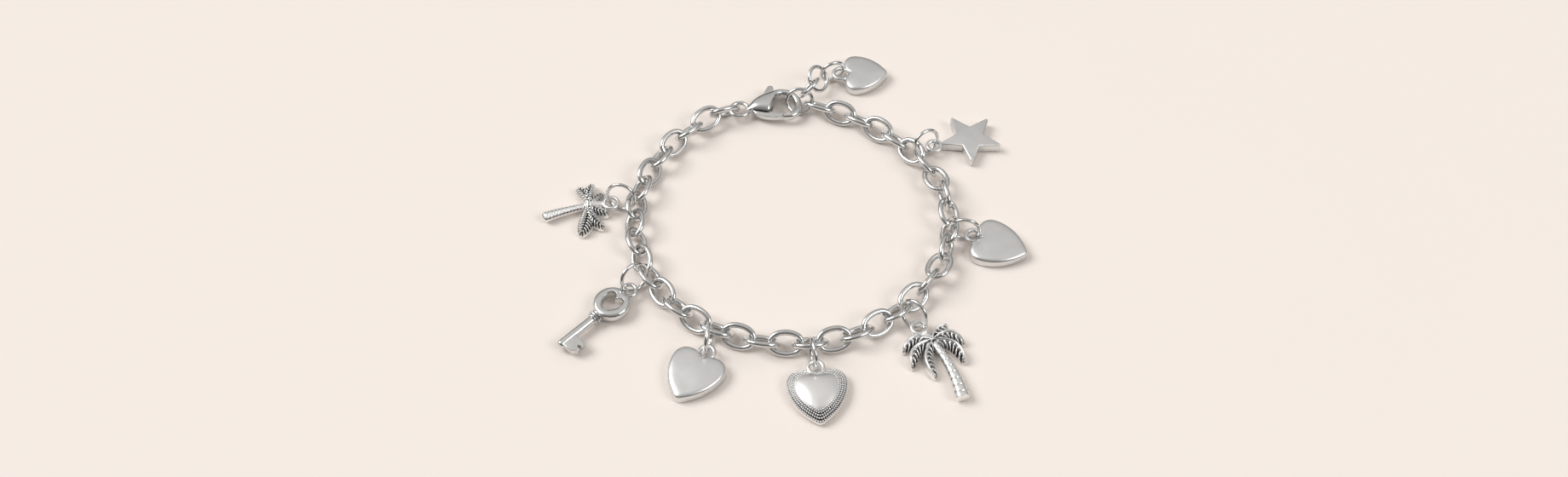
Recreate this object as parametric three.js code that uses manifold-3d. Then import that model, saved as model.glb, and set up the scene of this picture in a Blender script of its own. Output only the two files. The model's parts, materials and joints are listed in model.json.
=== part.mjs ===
// A silver charm bracelet laid out as a loop: oval cable chain, lobster clasp,
// a short extender and eight charms on jump rings. Millimetres, +Z up.
import * as THREE from "three";
import { mergeVertices } from "three/addons/utils/BufferGeometryUtils.js";
import Module from "manifold-3d";

const wasm = await Module();
wasm.setup();

// Chain
const LINK_COUNT = 39;
const LINK_LENGTH = 6.85;
const LINK_WIDTH = 5.0;
const LINK_WIRE = 1.05;
const LINK_SLACK = 0.37;
const LINK_ROLL = 40;

// Lobster clasp, lying flat on its belly
const CLASP_REACH = 12.85;
const CLASP_WIDTH = 7.6;
const CLASP_THICKNESS = 3.4;
const CLASP_EYE_OUTER = 4.5;
const CLASP_EYE_WIRE = 0.85;
const LEVER_THICKNESS = 1.1;
const LEVER_SIDE_GAP = 0.25;
const PIN_DIAMETER = 1.0;
const PIN_CLEARANCE = 0.2;
const PIN_SEAT = 0.28;
const GATE_REACH = 5.3;
const GATE_SEAM = 0.3;

// Rings
const END_RING_OUTER = 6.0;
const END_RING_WIRE = 0.75;
const END_RING_LEAN = 65;
const EXTENDER_RING_OUTER = 5.8;
const EXTENDER_RING_WIRE = 0.75;
const JUMP_RING_OUTER = 6.2;
const JUMP_RING_WIRE = 0.7;
const RING_CLEARANCE = 0.18;
const JUMP_CLEARANCE = 0.26;
const EYE_CLEARANCE = 0.54;
const HOOK_CLEARANCE = 1.26;

// Soldered eyes of the charms
const EYE_OUTER = 3.5;
const EYE_WIRE = 0.8;
const EYE_HEIGHT = 1.5;
const HEART_EYE_OUTER = 4.1;
const HEART_EYE_WIRE = 0.9;

// Charms
const HEART_WIDTH = 10.4;
const HEART_LENGTH = 10.4;
const HEART_THICKNESS = 2.2;
const BEADED_HEART_WIDTH = 11.1;
const BEADED_HEART_LENGTH = 10.9;
const BEADED_HEART_THICKNESS = 2.8;
const END_HEART_WIDTH = 9.8;
const END_HEART_LENGTH = 8.9;
const END_HEART_THICKNESS = 2.3;
const STAR_RADIUS = 6.2;
const STAR_THICKNESS = 2.0;
const STAR_BEVEL = 0.2;
const KEY_LENGTH = 16.9;
const KEY_BOW_OUTER = 6.9;
const KEY_THICKNESS = 2.0;
const KEY_BEVEL = 0.4;
const KEY_SHAFT = 1.7;
const KEY_BIT_LENGTH = 3.2;
const KEY_BIT_REACH = 3.4;
const KEY_BIT_INSET = 0.5;
const KEY_BIT_THICKNESS = 1.28;
const LARGE_PALM_REACH = 12.8;
const LARGE_PALM_THICKNESS = 2.2;
const LARGE_PALM_TRUNK = 2.6;
const SMALL_PALM_REACH = 9.2;
const SMALL_PALM_THICKNESS = 2.0;
const SMALL_PALM_TRUNK = 2.2;

// Mesh fineness
const LINK_STEPS = 12;
const LINK_SIDES = 6;
const RING_STEPS = 12;
const RING_SIDES = 5;
const EYE_STEPS = 12;
const EYE_SIDES = 6;
const CLASP_SIDES = 12;
const TAB_STEPS = 6;
const HEART_STEPS = 5;
const BOW_STEPS = 24;
const HOLE_STEPS = 4;
const SHAFT_SIDES = 10;
const ROUTE_DIVISIONS = 600;

const LINK_PITCH = LINK_LENGTH - 2 * LINK_WIRE - LINK_SLACK;
const UP = new THREE.Vector3(0, 0, 1);
const radians = THREE.MathUtils.degToRad;

const silver = { color: 0xd4d4d2, roughness: 0.22, metalness: 1.0 };
const satin = { color: 0xcfd0ce, roughness: 0.36, metalness: 1.0 };
const oxidised = { color: 0x9a9a98, roughness: 0.4, metalness: 0.9 };

// Loop shape: radius as a share of the loop's size at each heading in degrees,
// from the clasp's eye round to the end ring.
const LOOP_SHAPE = [
  { heading: 112, share: 1.022 },
  { heading: 140, share: 1.012 },
  { heading: 170, share: 1.005 },
  { heading: 200, share: 0.992 },
  { heading: 230, share: 0.977 },
  { heading: 260, share: 0.953 },
  { heading: 290, share: 0.962 },
  { heading: 320, share: 0.973 },
  { heading: 342, share: 1.003 },
  { heading: 364, share: 1.01 },
  { heading: 390, share: 0.986 },
  { heading: 420, share: 0.966 },
  { heading: 447, share: 1.0 },
];

// How far the chain is twisted about its own line at some of its links, in degrees.
const CHAIN_TWIST = [
  { link: 1, degrees: -20 },
  { link: 4, degrees: 0 },
  { link: 24, degrees: 0 },
  { link: 29, degrees: 90 },
  { link: 34, degrees: 180 },
  { link: 39, degrees: 180 },
];

// Where each charm hangs: its link, the share along that link's side, the ring's heading
// and lean, the share of the ring's reach that is used, and the charm's own heading.
const HANGING = {
  palm_small: { link: 8, along: -0.25, heading: 178, lean: 110, reach: 0.82, turn: 183 },
  key: { link: 12, along: -0.25, heading: -127, lean: 110, reach: 0.82, turn: -134 },
  heart_left: { link: 16, along: -0.1, heading: -100, lean: 90, reach: 0.82, turn: -118 },
  heart_beaded: { link: 20, along: 0, heading: -78, lean: 90, reach: 0.82, turn: -86 },
  palm_large: { link: 24, along: 0.4, heading: -54, lean: 70, reach: 0.82, turn: -50 },
  heart_right: { link: 29, along: 0, heading: -8, lean: 90, reach: 0.88, turn: -23 },
  star: { link: 34, along: -0.25, heading: 22, lean: 75, reach: 0.82, turn: 16 },
};

// Extender rings in order: heading, fall below level and roll about it, in degrees.
const EXTENDER = [
  { heading: 70, fall: 15, roll: 55 },
  { heading: 50, fall: 15, roll: -50 },
  { heading: 20, fall: -15, roll: 85 },
];
const END_RING_SEAT = 55;
const END_LINK_SEAT = -22;
const END_HEART_TURN = 2;
const END_HEART_SEAT = -0.25;

// Clasp body: edge pairs from the neck, over the belly and round the hook to its tip.
// x is a share of the clasp's reach, y of its width and thick of its thickness.
const CLASP_SECTIONS = [
  { outX: 0.117, outY: 0.145, inX: 0.121, inY: -0.099, thick: 0.5 },
  { outX: 0.226, outY: 0.309, inX: 0.226, inY: -0.112, thick: 0.76 },
  { outX: 0.358, outY: 0.487, inX: 0.342, inY: -0.151, thick: 0.97 },
  { outX: 0.482, outY: 0.599, inX: 0.467, inY: -0.171, thick: 1.0 },
  { outX: 0.568, outY: 0.638, inX: 0.525, inY: 0.079, thick: 0.94 },
  { outX: 0.646, outY: 0.651, inX: 0.568, inY: 0.303, thick: 0.85 },
  { outX: 0.732, outY: 0.638, inX: 0.654, inY: 0.421, thick: 0.76 },
  { outX: 0.833, outY: 0.579, inX: 0.763, inY: 0.408, thick: 0.7 },
  { outX: 0.918, outY: 0.461, inX: 0.833, inY: 0.329, thick: 0.62 },
  { outX: 0.981, outY: 0.289, inX: 0.864, inY: 0.224, thick: 0.53 },
  { outX: 1.0, outY: 0.092, inX: 0.875, inY: 0.092, thick: 0.47 },
  { outX: 0.981, outY: -0.105, inX: 0.86, inY: -0.039, thick: 0.47 },
  { outX: 0.918, outY: -0.25, inX: 0.825, inY: -0.132, thick: 0.47 },
  { outX: 0.833, outY: -0.336, inX: 0.778, inY: -0.184, thick: 0.47 },
];
const HOOK_TIP = { outY: -0.362, inY: -0.211, thick: 0.47 };
// A section's corners are fuller than an ellipse's, whose exponent is 1.
const CLASP_FULLNESS = 0.85;
const PIVOT = { x: 0.327, y: 0.039 };
const LEVER_BOTTOM = [
  { x: 0.584, y: -0.342 },
  { x: 0.467, y: -0.329 },
  { x: 0.358, y: -0.289 },
  { x: 0.257, y: -0.197 },
  { x: 0.214, y: -0.066 },
  { x: 0.226, y: 0.079 },
  { x: 0.28, y: 0.197 },
];
const LEVER_TOP = [
  { x: 0.405, y: 0.132 },
  { x: 0.436, y: -0.079 },
  { x: 0.514, y: -0.132 },
  { x: 0.623, y: -0.158 },
];
const TAB = { x: 0.486, y: 0.724, radius: 0.092 };
const GATE_END = { topY: -0.197, bottomY: -0.322 };
const SLOT = [
  { x: 0.183, y: -0.53 },
  { x: 0.591, y: -0.53 },
  { x: 0.591, y: 0.145 },
  { x: 0.447, y: 0.145 },
  { x: 0.584, y: 0.855 },
  { x: 0.226, y: 0.855 },
  { x: 0.183, y: 0.066 },
];

// Domed charms: the outline's scale and height at each level, from the back to the front.
const HEART_PROFILE = [
  { scale: 0.95, height: 0 },
  { scale: 1.0, height: 0.16 },
  { scale: 1.0, height: 0.6 },
  { scale: 0.95, height: 0.74 },
  { scale: 0.78, height: 0.88 },
  { scale: 0.45, height: 0.98 },
];
const PUFFY_PROFILE = [
  { scale: 0.86, height: 0 },
  { scale: 0.97, height: 0.12 },
  { scale: 1.0, height: 0.3 },
  { scale: 0.95, height: 0.5 },
  { scale: 0.8, height: 0.75 },
  { scale: 0.5, height: 0.95 },
];

// How far each charm's body is soldered into its eye, as a share of the eye's wire.
const SOLDER = { heart: 0.5, star: 0.33, bow: 1.2 };

// Star: the inner corners' share of its radius, and the blunting of each tip.
const STAR_INNER = 0.46;
const STAR_TIP = { degrees: 3, share: 0.975 };

// Heart outline as shares of its length and width, one side of a mirrored pair.
const HEART_NOTCH = 0.1;
const LOBE = { x: 0, y: 0.26 };
const LOBE_START = [{ x: 0.02, y: 0.05 }, { x: 0, y: 0.155 }];
const LOBE_SIDE = [{ x: 0, y: 0.395 }, { x: 0.096, y: 0.5 }];
const HEART_SIDE = { x: 0.24, y: 0.5 };
const HEART_TAPER = [{ x: 0.44, y: 0.5 }, { x: 0.73, y: 0.29 }];
const HEART_CENTRE = 0.4;

// Palm fronds about the crown: heading and bend of the rib, reach and width as
// shares of the palm's reach; bend is positive to the left of the frond's heading.
const LARGE_FRONDS = [
  { heading: 97, reach: 0.37, bend: 0.08, width: 0.12 },
  { heading: 46, reach: 0.46, bend: 0.16, width: 0.15 },
  { heading: 11, reach: 0.55, bend: 0.16, width: 0.15 },
  { heading: -39, reach: 0.6, bend: -0.12, width: 0.14 },
  { heading: -75, reach: 0.54, bend: -0.14, width: 0.14 },
  { heading: -108, reach: 0.46, bend: -0.14, width: 0.14 },
];
const LARGE_TRUNK = { heading: -19, bend: 0.055, bands: 9 };
const LARGE_CROWN = 3.55;
const SMALL_FRONDS = [
  { heading: -53, reach: 0.62, bend: -0.06, width: 0.2 },
  { heading: -93, reach: 0.61, bend: 0.05, width: 0.2 },
  { heading: 80, reach: 0.83, bend: 0.04, width: 0.26 },
  { heading: 116, reach: 0.72, bend: -0.08, width: 0.16 },
  { heading: 154, reach: 0.48, bend: -0.05, width: 0.13 },
  { heading: -161, reach: 0.34, bend: 0.04, width: 0.17 },
];
const SMALL_TRUNK = { heading: 17, bend: -0.02, bands: 12 };
const SMALL_CROWN = 4.25;

// A frond's half width at stations along it, and the strips that make a palm: offsets and
// half widths as shares of the width, heights as shares of the thickness.
const FROND_STATIONS = [
  { share: 0, width: 0.35 },
  { share: 0.25, width: 0.8 },
  { share: 0.5, width: 1 },
  { share: 0.78, width: 0.85 },
  { share: 1, width: 0.25 },
];
const STRIP_FLAT = 0.6;
const LEAF = { half: 0.5, offset: 0.35, bottom: 0.1, top: 0.7 };
const RIB = { half: 0.2, even: 0.3, bottom: 0.2, top: 1 };
const TRUNK = { half: 0.5, slim: 0.42, bottom: 0.04, low: 0.72, high: 0.92 };
// Each band of a trunk runs between two shares of its step, and starts in a groove.
const BAND = { start: 0.04, end: 0.9, grooveWidth: 0.82, grooveHeight: 0.91 };
// The neck that joins a palm to its eye, in shares of the eye's wire.
const NECK = { half: 1, above: 0.33, below: 1, overlap: 1 };

// Key: the heart-shaped hole in shares of the bow, the collars past the bow in shares of
// the shaft, and the bit in shares of its own length and reach.
const KEY_HOLE = { start: 0.221, length: 0.612, width: 0.612 };
const KEY_COLLARS = [
  { x: 0.13, radius: 0.775 },
  { x: 0.418, radius: 0.855 },
  { x: 0.706, radius: 0.736 },
];
const COLLAR_HALF = 0.119;
const KEY_BIT = [
  { x: 0, y: 0 },
  { x: 1, y: 0 },
  { x: 0.974, y: 0.75 },
  { x: 0.711, y: 1 },
  { x: 0.553, y: 1 },
  { x: 0.516, y: 0.75 },
  { x: 0.432, y: 0.75 },
  { x: 0.395, y: 1 },
  { x: 0.105, y: 0.95 },
];

// Solids and meshes

function solidOf(geometry) {
  const bare = geometry.clone();
  bare.deleteAttribute("normal");
  bare.deleteAttribute("uv");
  const merged = mergeVertices(bare, 1e-4);
  return new wasm.Manifold(
    new wasm.Mesh({
      numProp: 3,
      vertProperties: merged.attributes.position.array,
      triVerts: new Uint32Array(merged.index.array),
    }),
  );
}

function geometryOf(solid) {
  const mesh = solid.getMesh();
  const geometry = new THREE.BufferGeometry();
  const vertices = new Float32Array(mesh.vertProperties);
  geometry.setAttribute("position", new THREE.BufferAttribute(vertices, 3));
  geometry.setIndex(new THREE.BufferAttribute(new Uint32Array(mesh.triVerts), 1));
  return geometry;
}

function joined(...geometries) {
  const solids = geometries.map(solidOf);
  return geometryOf(solids.reduce((sum, solid) => sum.add(solid)));
}

function cutBy(geometry, ...tools) {
  const start = solidOf(geometry);
  return geometryOf(tools.map(solidOf).reduce((rest, tool) => rest.subtract(tool), start));
}

// A closed surface through sections of equal point count, with a fan at each end.
function loft(sections) {
  const sides = sections[0].length;
  const points = sections.flat();
  const faces = [];
  for (let i = 0; i + 1 < sections.length; i++) {
    for (let j = 0; j < sides; j++) {
      const a = i * sides + j;
      const b = i * sides + ((j + 1) % sides);
      faces.push(a, b, a + sides, b, b + sides, a + sides);
    }
  }
  const last = sections.length - 1;
  const start = points.length;
  points.push(middleOf(sections[0]), middleOf(sections[last]));
  for (let j = 0; j < sides; j++) {
    const next = (j + 1) % sides;
    faces.push(start, next, j, start + 1, last * sides + j, last * sides + next);
  }
  return surface(points, faces);
}

function middleOf(section) {
  const sum = section.reduce((total, point) => total.add(point), new THREE.Vector3());
  return sum.divideScalar(section.length);
}

// Turns the faces round where they would point inwards.
function surface(points, faces) {
  let volume = 0;
  for (let i = 0; i < faces.length; i += 3) {
    const [a, b, c] = [points[faces[i]], points[faces[i + 1]], points[faces[i + 2]]];
    volume += a.dot(b.clone().cross(c));
  }
  const index = volume < 0 ? faces.slice().reverse() : faces;
  const geometry = new THREE.BufferGeometry().setFromPoints(points);
  geometry.setIndex(index);
  return geometry;
}

// A flat-backed solid whose outline shrinks towards a centre with height.
function domed(outline, centre, profile, thickness) {
  const sections = profile.map((row) =>
    outline.map(
      (point) =>
        new THREE.Vector3(
          centre.x + (point.x - centre.x) * row.scale,
          centre.y + (point.y - centre.y) * row.scale,
          row.height * thickness,
        ),
    ),
  );
  const geometry = loft(sections);
  const apex = geometry.attributes.position.count - 1;
  geometry.attributes.position.setZ(apex, thickness);
  return geometry;
}

function plate(points, bottom, height, bevel = 0) {
  const shape = points instanceof THREE.Shape ? points : new THREE.Shape(points);
  const geometry = new THREE.ExtrudeGeometry(shape, {
    depth: height - 2 * bevel,
    steps: 1,
    curveSegments: 8,
    bevelEnabled: bevel > 0,
    bevelThickness: bevel,
    bevelSize: bevel,
    bevelOffset: -bevel,
    bevelSegments: 2,
  });
  return geometry.translate(0, 0, bottom + bevel);
}

// Rings

function ringGeometry(outer, wire, steps, sides) {
  return new THREE.TorusGeometry((outer - wire) / 2, wire / 2, sides, steps);
}

function eyeGeometry(outer, wire, height) {
  return ringGeometry(outer, wire, EYE_STEPS, EYE_SIDES).translate(0, 0, height);
}

// An oval link in its own plane: a unit ring whose wire follows an ellipse.
function linkGeometry() {
  const geometry = ringGeometry(2 + LINK_WIRE, LINK_WIRE, LINK_STEPS, LINK_SIDES);
  const position = geometry.attributes.position;
  const halfLength = (LINK_LENGTH - LINK_WIRE) / 2;
  const halfWidth = (LINK_WIDTH - LINK_WIRE) / 2;
  for (let i = 0; i < position.count; i++) {
    const turn = Math.atan2(position.getY(i), position.getX(i));
    const offset = Math.hypot(position.getX(i), position.getY(i)) - 1;
    const normal = new THREE.Vector2(halfWidth * Math.cos(turn), halfLength * Math.sin(turn));
    normal.normalize().multiplyScalar(offset);
    position.setX(i, halfLength * Math.cos(turn) + normal.x);
    position.setY(i, halfWidth * Math.sin(turn) + normal.y);
  }
  return geometry;
}

function direction(degrees) {
  return new THREE.Vector3(Math.cos(radians(degrees)), Math.sin(radians(degrees)), 0);
}

// The plane of a ring that passes round a near wire and a far wire, leaning by an angle
// from flat. Its centre lies above the line between the two seats.
function ringRound({ near, nearWire, farWire, farHeight, heading, lean, reach, outer, wire }) {
  const radius = (outer - wire) / 2;
  const toNear = radius - (nearWire + wire) / 2 - JUMP_CLEARANCE;
  const toFar = radius - (farWire + wire) / 2 - JUMP_CLEARANCE;
  const span = reach * (toNear + toFar);
  const fall = near.z - farHeight;
  const level = direction(heading);
  const far = near.clone().addScaledVector(level, Math.sqrt(span * span - fall * fall));
  far.z = farHeight;
  const along = far.clone().sub(near).normalize();
  const left = new THREE.Vector3(-level.y, level.x, 0);
  const above = new THREE.Vector3().crossVectors(along, left);
  const across = left.multiplyScalar(Math.cos(radians(lean)));
  across.addScaledVector(above, Math.sin(radians(lean)));
  const x = (span * span + toNear * toNear - toFar * toFar) / (2 * span);
  const y = Math.sqrt(Math.max(0, toNear * toNear - x * x));
  const centre = near.clone().addScaledVector(along, x).addScaledVector(across, y);
  return { centre, along, across, far, level };
}

// Group and placing

const bracelet = new THREE.Group();

function add(name, geometry, finish, parent = bracelet) {
  const mesh = new THREE.Mesh(geometry, new THREE.MeshStandardMaterial(finish));
  mesh.name = name;
  parent.add(mesh);
  return mesh;
}

function settle(object, centre, along, across) {
  const normal = new THREE.Vector3().crossVectors(along, across);
  const basis = new THREE.Matrix4().makeBasis(along, across, normal);
  object.quaternion.setFromRotationMatrix(basis);
  object.position.copy(centre);
}

// Clasp frame: its eye's centre is the origin and the hook lies towards +X.

const claspMiddle = CLASP_THICKNESS / 2;
const eyeRadius = (CLASP_EYE_OUTER - CLASP_EYE_WIRE) / 2;
const jointHalf = (LINK_WIRE + LINK_SLACK) / 2;

function claspPoint(x, y) {
  return new THREE.Vector2(x * CLASP_REACH, y * CLASP_WIDTH);
}

const pivot = claspPoint(PIVOT.x, PIVOT.y);

// The point at a height across the clasp that lies a radius from the pivot.
function onArc(radius, yShare) {
  const y = yShare * CLASP_WIDTH;
  return new THREE.Vector2(pivot.x + Math.sqrt(radius ** 2 - (y - pivot.y) ** 2), y);
}

function claspSection(outer, inner, thick) {
  const middle = outer.clone().add(inner).multiplyScalar(0.5);
  const half = outer.clone().sub(inner).multiplyScalar(0.5);
  const fuller = (value) => Math.sign(value) * Math.abs(value) ** CLASP_FULLNESS;
  const section = [];
  for (let i = 0; i < CLASP_SIDES; i++) {
    const turn = (2 * Math.PI * i) / CLASP_SIDES;
    const across = fuller(Math.cos(turn));
    const rise = fuller(Math.sin(turn));
    const place = middle.clone().addScaledVector(half, across);
    const z = claspMiddle + (rise * thick * CLASP_THICKNESS) / 2;
    section.push(new THREE.Vector3(place.x, place.y, z));
  }
  return section;
}

function claspBody() {
  const sections = CLASP_SECTIONS.map((row) =>
    claspSection(claspPoint(row.outX, row.outY), claspPoint(row.inX, row.inY), row.thick),
  );
  const tipRadius = GATE_REACH + GATE_SEAM;
  sections.push(
    claspSection(
      onArc(tipRadius, HOOK_TIP.outY),
      onArc(tipRadius, HOOK_TIP.inY),
      HOOK_TIP.thick,
    ),
  );
  const shell = joined(
    loft(sections),
    eyeGeometry(CLASP_EYE_OUTER, CLASP_EYE_WIRE, claspMiddle),
  );
  const slotHeight = LEVER_THICKNESS + 2 * LEVER_SIDE_GAP;
  const slotOutline = SLOT.map((row) => claspPoint(row.x, row.y));
  const slot = plate(slotOutline, claspMiddle - slotHeight / 2, slotHeight);
  const pinLength = slotHeight + 2 * PIN_SEAT;
  const pinRadius = PIN_DIAMETER / 2;
  const pin = new THREE.CylinderGeometry(pinRadius, pinRadius, pinLength, SHAFT_SIDES);
  pin.rotateX(Math.PI / 2).translate(pivot.x, pivot.y, claspMiddle);
  return joined(cutBy(shell, slot), pin);
}

function claspLever() {
  const tab = claspPoint(TAB.x, TAB.y);
  const tabRadius = TAB.radius * CLASP_WIDTH;
  const arm = tab.clone().sub(pivot).normalize();
  const armHeading = Math.atan2(arm.y, arm.x);
  const outline = [onArc(GATE_REACH, GATE_END.topY), onArc(GATE_REACH, GATE_END.bottomY)];
  outline.push(...LEVER_BOTTOM.map((row) => claspPoint(row.x, row.y)));
  for (let i = 0; i <= TAB_STEPS; i++) {
    const turn = armHeading + Math.PI / 2 - (Math.PI * i) / TAB_STEPS;
    const rim = new THREE.Vector2(Math.cos(turn), Math.sin(turn));
    outline.push(tab.clone().addScaledVector(rim, tabRadius));
  }
  outline.push(...LEVER_TOP.map((row) => claspPoint(row.x, row.y)));
  const shape = new THREE.Shape(outline);
  const hole = new THREE.Path();
  hole.absarc(pivot.x, pivot.y, PIN_DIAMETER / 2 + PIN_CLEARANCE, 0, 2 * Math.PI);
  shape.holes.push(hole);
  return plate(shape, claspMiddle - LEVER_THICKNESS / 2, LEVER_THICKNESS);
}

// The hook's middle at its far end, where the end ring rides.
const hookRow = CLASP_SECTIONS.reduce((far, row) => (row.outX > far.outX ? row : far));
const hookSeat = new THREE.Vector3(
  ((hookRow.outX + hookRow.inX) / 2) * CLASP_REACH,
  hookRow.outY * CLASP_WIDTH,
  claspMiddle,
);
const endRadius = (END_RING_OUTER - END_RING_WIRE) / 2;
const endAcross = new THREE.Vector3(
  0,
  Math.cos(radians(END_RING_LEAN)),
  Math.sin(radians(END_RING_LEAN)),
);
const endHeight = endRadius * endAcross.z + END_RING_WIRE / 2;
const hookHalf = ((hookRow.outX - hookRow.inX) / 2) * CLASP_REACH;
const endCentre = hookSeat.clone();
endCentre.x += endRadius - END_RING_WIRE / 2 - hookHalf - HOOK_CLEARANCE;
endCentre.addScaledVector(endAcross, (endHeight - hookSeat.z) / endAcross.z);

// The chain's first and last joints in the clasp's frame.
const eyeJoint = new THREE.Vector3(0, 0, claspMiddle);
eyeJoint.x = -(eyeRadius - (CLASP_EYE_WIRE + LINK_WIRE) / 2 - EYE_CLEARANCE + jointHalf);
const endReach = endRadius - (END_RING_WIRE + LINK_WIRE) / 2 - RING_CLEARANCE;
const endJoint = endCentre.clone();
endJoint.x += endReach * Math.cos(radians(END_LINK_SEAT)) + jointHalf;
endJoint.addScaledVector(endAcross, endReach * Math.sin(radians(END_LINK_SEAT)));
const claspSpan = Math.hypot(endJoint.x - eyeJoint.x, endJoint.y - eyeJoint.y);

// Chain

const unitLoop = new THREE.CatmullRomCurve3(
  LOOP_SHAPE.map((row) => direction(row.heading).multiplyScalar(row.share)),
  true,
);
unitLoop.arcLengthDivisions = ROUTE_DIVISIONS;
const chainLength = LINK_COUNT * LINK_PITCH;
const unitLength = unitLoop.getLength();
const roughRadius = (chainLength + claspSpan) / unitLength;
const claspArc = 2 * roughRadius * Math.asin(claspSpan / (2 * roughRadius));
const loopRadius = (chainLength + claspArc) / unitLength;

function routePoint(distance) {
  const share = distance / (chainLength + claspArc);
  return unitLoop.getPointAt(share).multiplyScalar(loopRadius);
}

function twistAt(link) {
  const next = CHAIN_TWIST.findIndex((row) => row.link >= link);
  if (next < 1) return CHAIN_TWIST[0].degrees;
  const [a, b] = [CHAIN_TWIST[next - 1], CHAIN_TWIST[next]];
  return THREE.MathUtils.mapLinear(link, a.link, b.link, a.degrees, b.degrees);
}

function rollOf(link) {
  const side = link % 2 === 0 ? 1 : -1;
  const share = ((link - 1) / (LINK_COUNT - 1)) * (CHAIN_TWIST[CHAIN_TWIST.length - 1].link - 1);
  return radians(side * LINK_ROLL + twistAt(share + 1));
}

function restHeight(link) {
  const halfWidth = (LINK_WIDTH - LINK_WIRE) / 2;
  return halfWidth * Math.abs(Math.sin(rollOf(link))) + LINK_WIRE / 2;
}

const joints = [];
for (let i = 0; i <= LINK_COUNT; i++) joints.push(routePoint(i * LINK_PITCH));
joints[0].z = eyeJoint.z;
joints[LINK_COUNT].z = endJoint.z;
for (let i = 1; i < LINK_COUNT; i++) {
  joints[i].z = Math.max(restHeight(i), restHeight(i + 1));
}
// The end links lie between the clasp's height and the height that lets them rest.
joints[1].z = Math.max(joints[1].z, 2 * restHeight(1) - eyeJoint.z);
const lastRise = 2 * restHeight(LINK_COUNT) - endJoint.z;
joints[LINK_COUNT - 1].z = Math.max(joints[LINK_COUNT - 1].z, lastRise);

const links = [];
for (let i = 1; i <= LINK_COUNT; i++) {
  const centre = joints[i - 1].clone().add(joints[i]).multiplyScalar(0.5);
  const along = joints[i].clone().sub(joints[i - 1]).normalize();
  const outward = new THREE.Vector3().crossVectors(along, UP).normalize();
  const above = new THREE.Vector3().crossVectors(outward, along);
  const across = outward.multiplyScalar(Math.cos(rollOf(i)));
  across.addScaledVector(above, Math.sin(rollOf(i)));
  const link = add("link_" + String(i).padStart(2, "0"), linkGeometry(), silver);
  settle(link, centre, along, across);
  links.push({ centre, along, across });
}

// Clasp and end ring, from the chain's first joint to its last

const claspGroup = new THREE.Group();
const claspChord = joints[LINK_COUNT].clone().sub(joints[0]);
const claspSkew = Math.atan2(endJoint.y - eyeJoint.y, endJoint.x - eyeJoint.x);
const claspAlong = claspChord.setZ(0).normalize().applyAxisAngle(UP, -claspSkew);
const claspLeft = new THREE.Vector3(-claspAlong.y, claspAlong.x, 0);
const claspOrigin = joints[0].clone().setZ(0).addScaledVector(claspAlong, -eyeJoint.x);
settle(claspGroup, claspOrigin, claspAlong, claspLeft);
bracelet.add(claspGroup);
add("clasp_body", claspBody(), silver, claspGroup);
add("clasp_lever", claspLever(), silver, claspGroup);
const endRing = ringGeometry(END_RING_OUTER, END_RING_WIRE, RING_STEPS, RING_SIDES);
settle(add("end_ring", endRing, silver, claspGroup), endCentre, new THREE.Vector3(1, 0, 0), endAcross);
claspGroup.updateMatrix();

// Extender

const extenderRadius = (EXTENDER_RING_OUTER - EXTENDER_RING_WIRE) / 2;
const seatTurn = radians(END_RING_SEAT);
const extenderSeat = endCentre.clone();
extenderSeat.x += endRadius * Math.cos(seatTurn);
extenderSeat.addScaledVector(endAcross, endRadius * Math.sin(seatTurn));
extenderSeat.applyMatrix4(claspGroup.matrix);

// Each ring starts at the wire it hangs on; the wires' centres lie this far apart.
let hangingFrom = extenderSeat;
let wireStep = (END_RING_WIRE + EXTENDER_RING_WIRE) / 2 + RING_CLEARANCE;
EXTENDER.forEach((row, i) => {
  const along = direction(row.heading).multiplyScalar(Math.cos(radians(row.fall)));
  along.setZ(-Math.sin(radians(row.fall)));
  const centre = hangingFrom.clone().addScaledVector(along, extenderRadius - wireStep);
  const side = new THREE.Vector3().crossVectors(along, UP).normalize();
  const above = new THREE.Vector3().crossVectors(side, along);
  const across = side.multiplyScalar(Math.cos(radians(row.roll)));
  across.addScaledVector(above, Math.sin(radians(row.roll)));
  const geometry = ringGeometry(EXTENDER_RING_OUTER, EXTENDER_RING_WIRE, RING_STEPS, RING_SIDES);
  settle(add("extender_ring_" + (i + 1), geometry, silver), centre, along, across);
  hangingFrom = centre.clone().addScaledVector(along, extenderRadius);
  wireStep = EXTENDER_RING_WIRE + RING_CLEARANCE;
});
const endHeartLevel = direction(EXTENDER[EXTENDER.length - 1].heading);

// Charms. In a charm's frame its eye's centre is over the origin, it hangs towards +X
// and its back lies at z = 0.

function heartOutline(width, length, start) {
  const at = (row, side) => [start + row.x * length, side * row.y * width];
  const shape = new THREE.Shape();
  const curve = (controls, end, side) => {
    shape.bezierCurveTo(...at(controls[0], side), ...at(controls[1], side), ...at(end, side));
  };
  const tip = { x: 1, y: 0 };
  const notch = { x: HEART_NOTCH, y: 0 };
  shape.moveTo(...at(notch, 1));
  curve(LOBE_START, LOBE, 1);
  curve(LOBE_SIDE, HEART_SIDE, 1);
  curve(HEART_TAPER, tip, 1);
  curve([...HEART_TAPER].reverse(), HEART_SIDE, -1);
  curve([...LOBE_SIDE].reverse(), LOBE, -1);
  curve([...LOBE_START].reverse(), notch, -1);
  return shape;
}

function heartCharm({ width, length, thickness, profile, eyeOuter, eyeWire, eyeHeight }) {
  const start = eyeOuter / 2 - SOLDER.heart * eyeWire - HEART_NOTCH * length;
  const outline = heartOutline(width, length, start).getPoints(HEART_STEPS);
  outline.pop();
  const centre = new THREE.Vector2(start + HEART_CENTRE * length, 0);
  return joined(
    domed(outline, centre, profile, thickness),
    eyeGeometry(eyeOuter, eyeWire, eyeHeight),
  );
}

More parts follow.
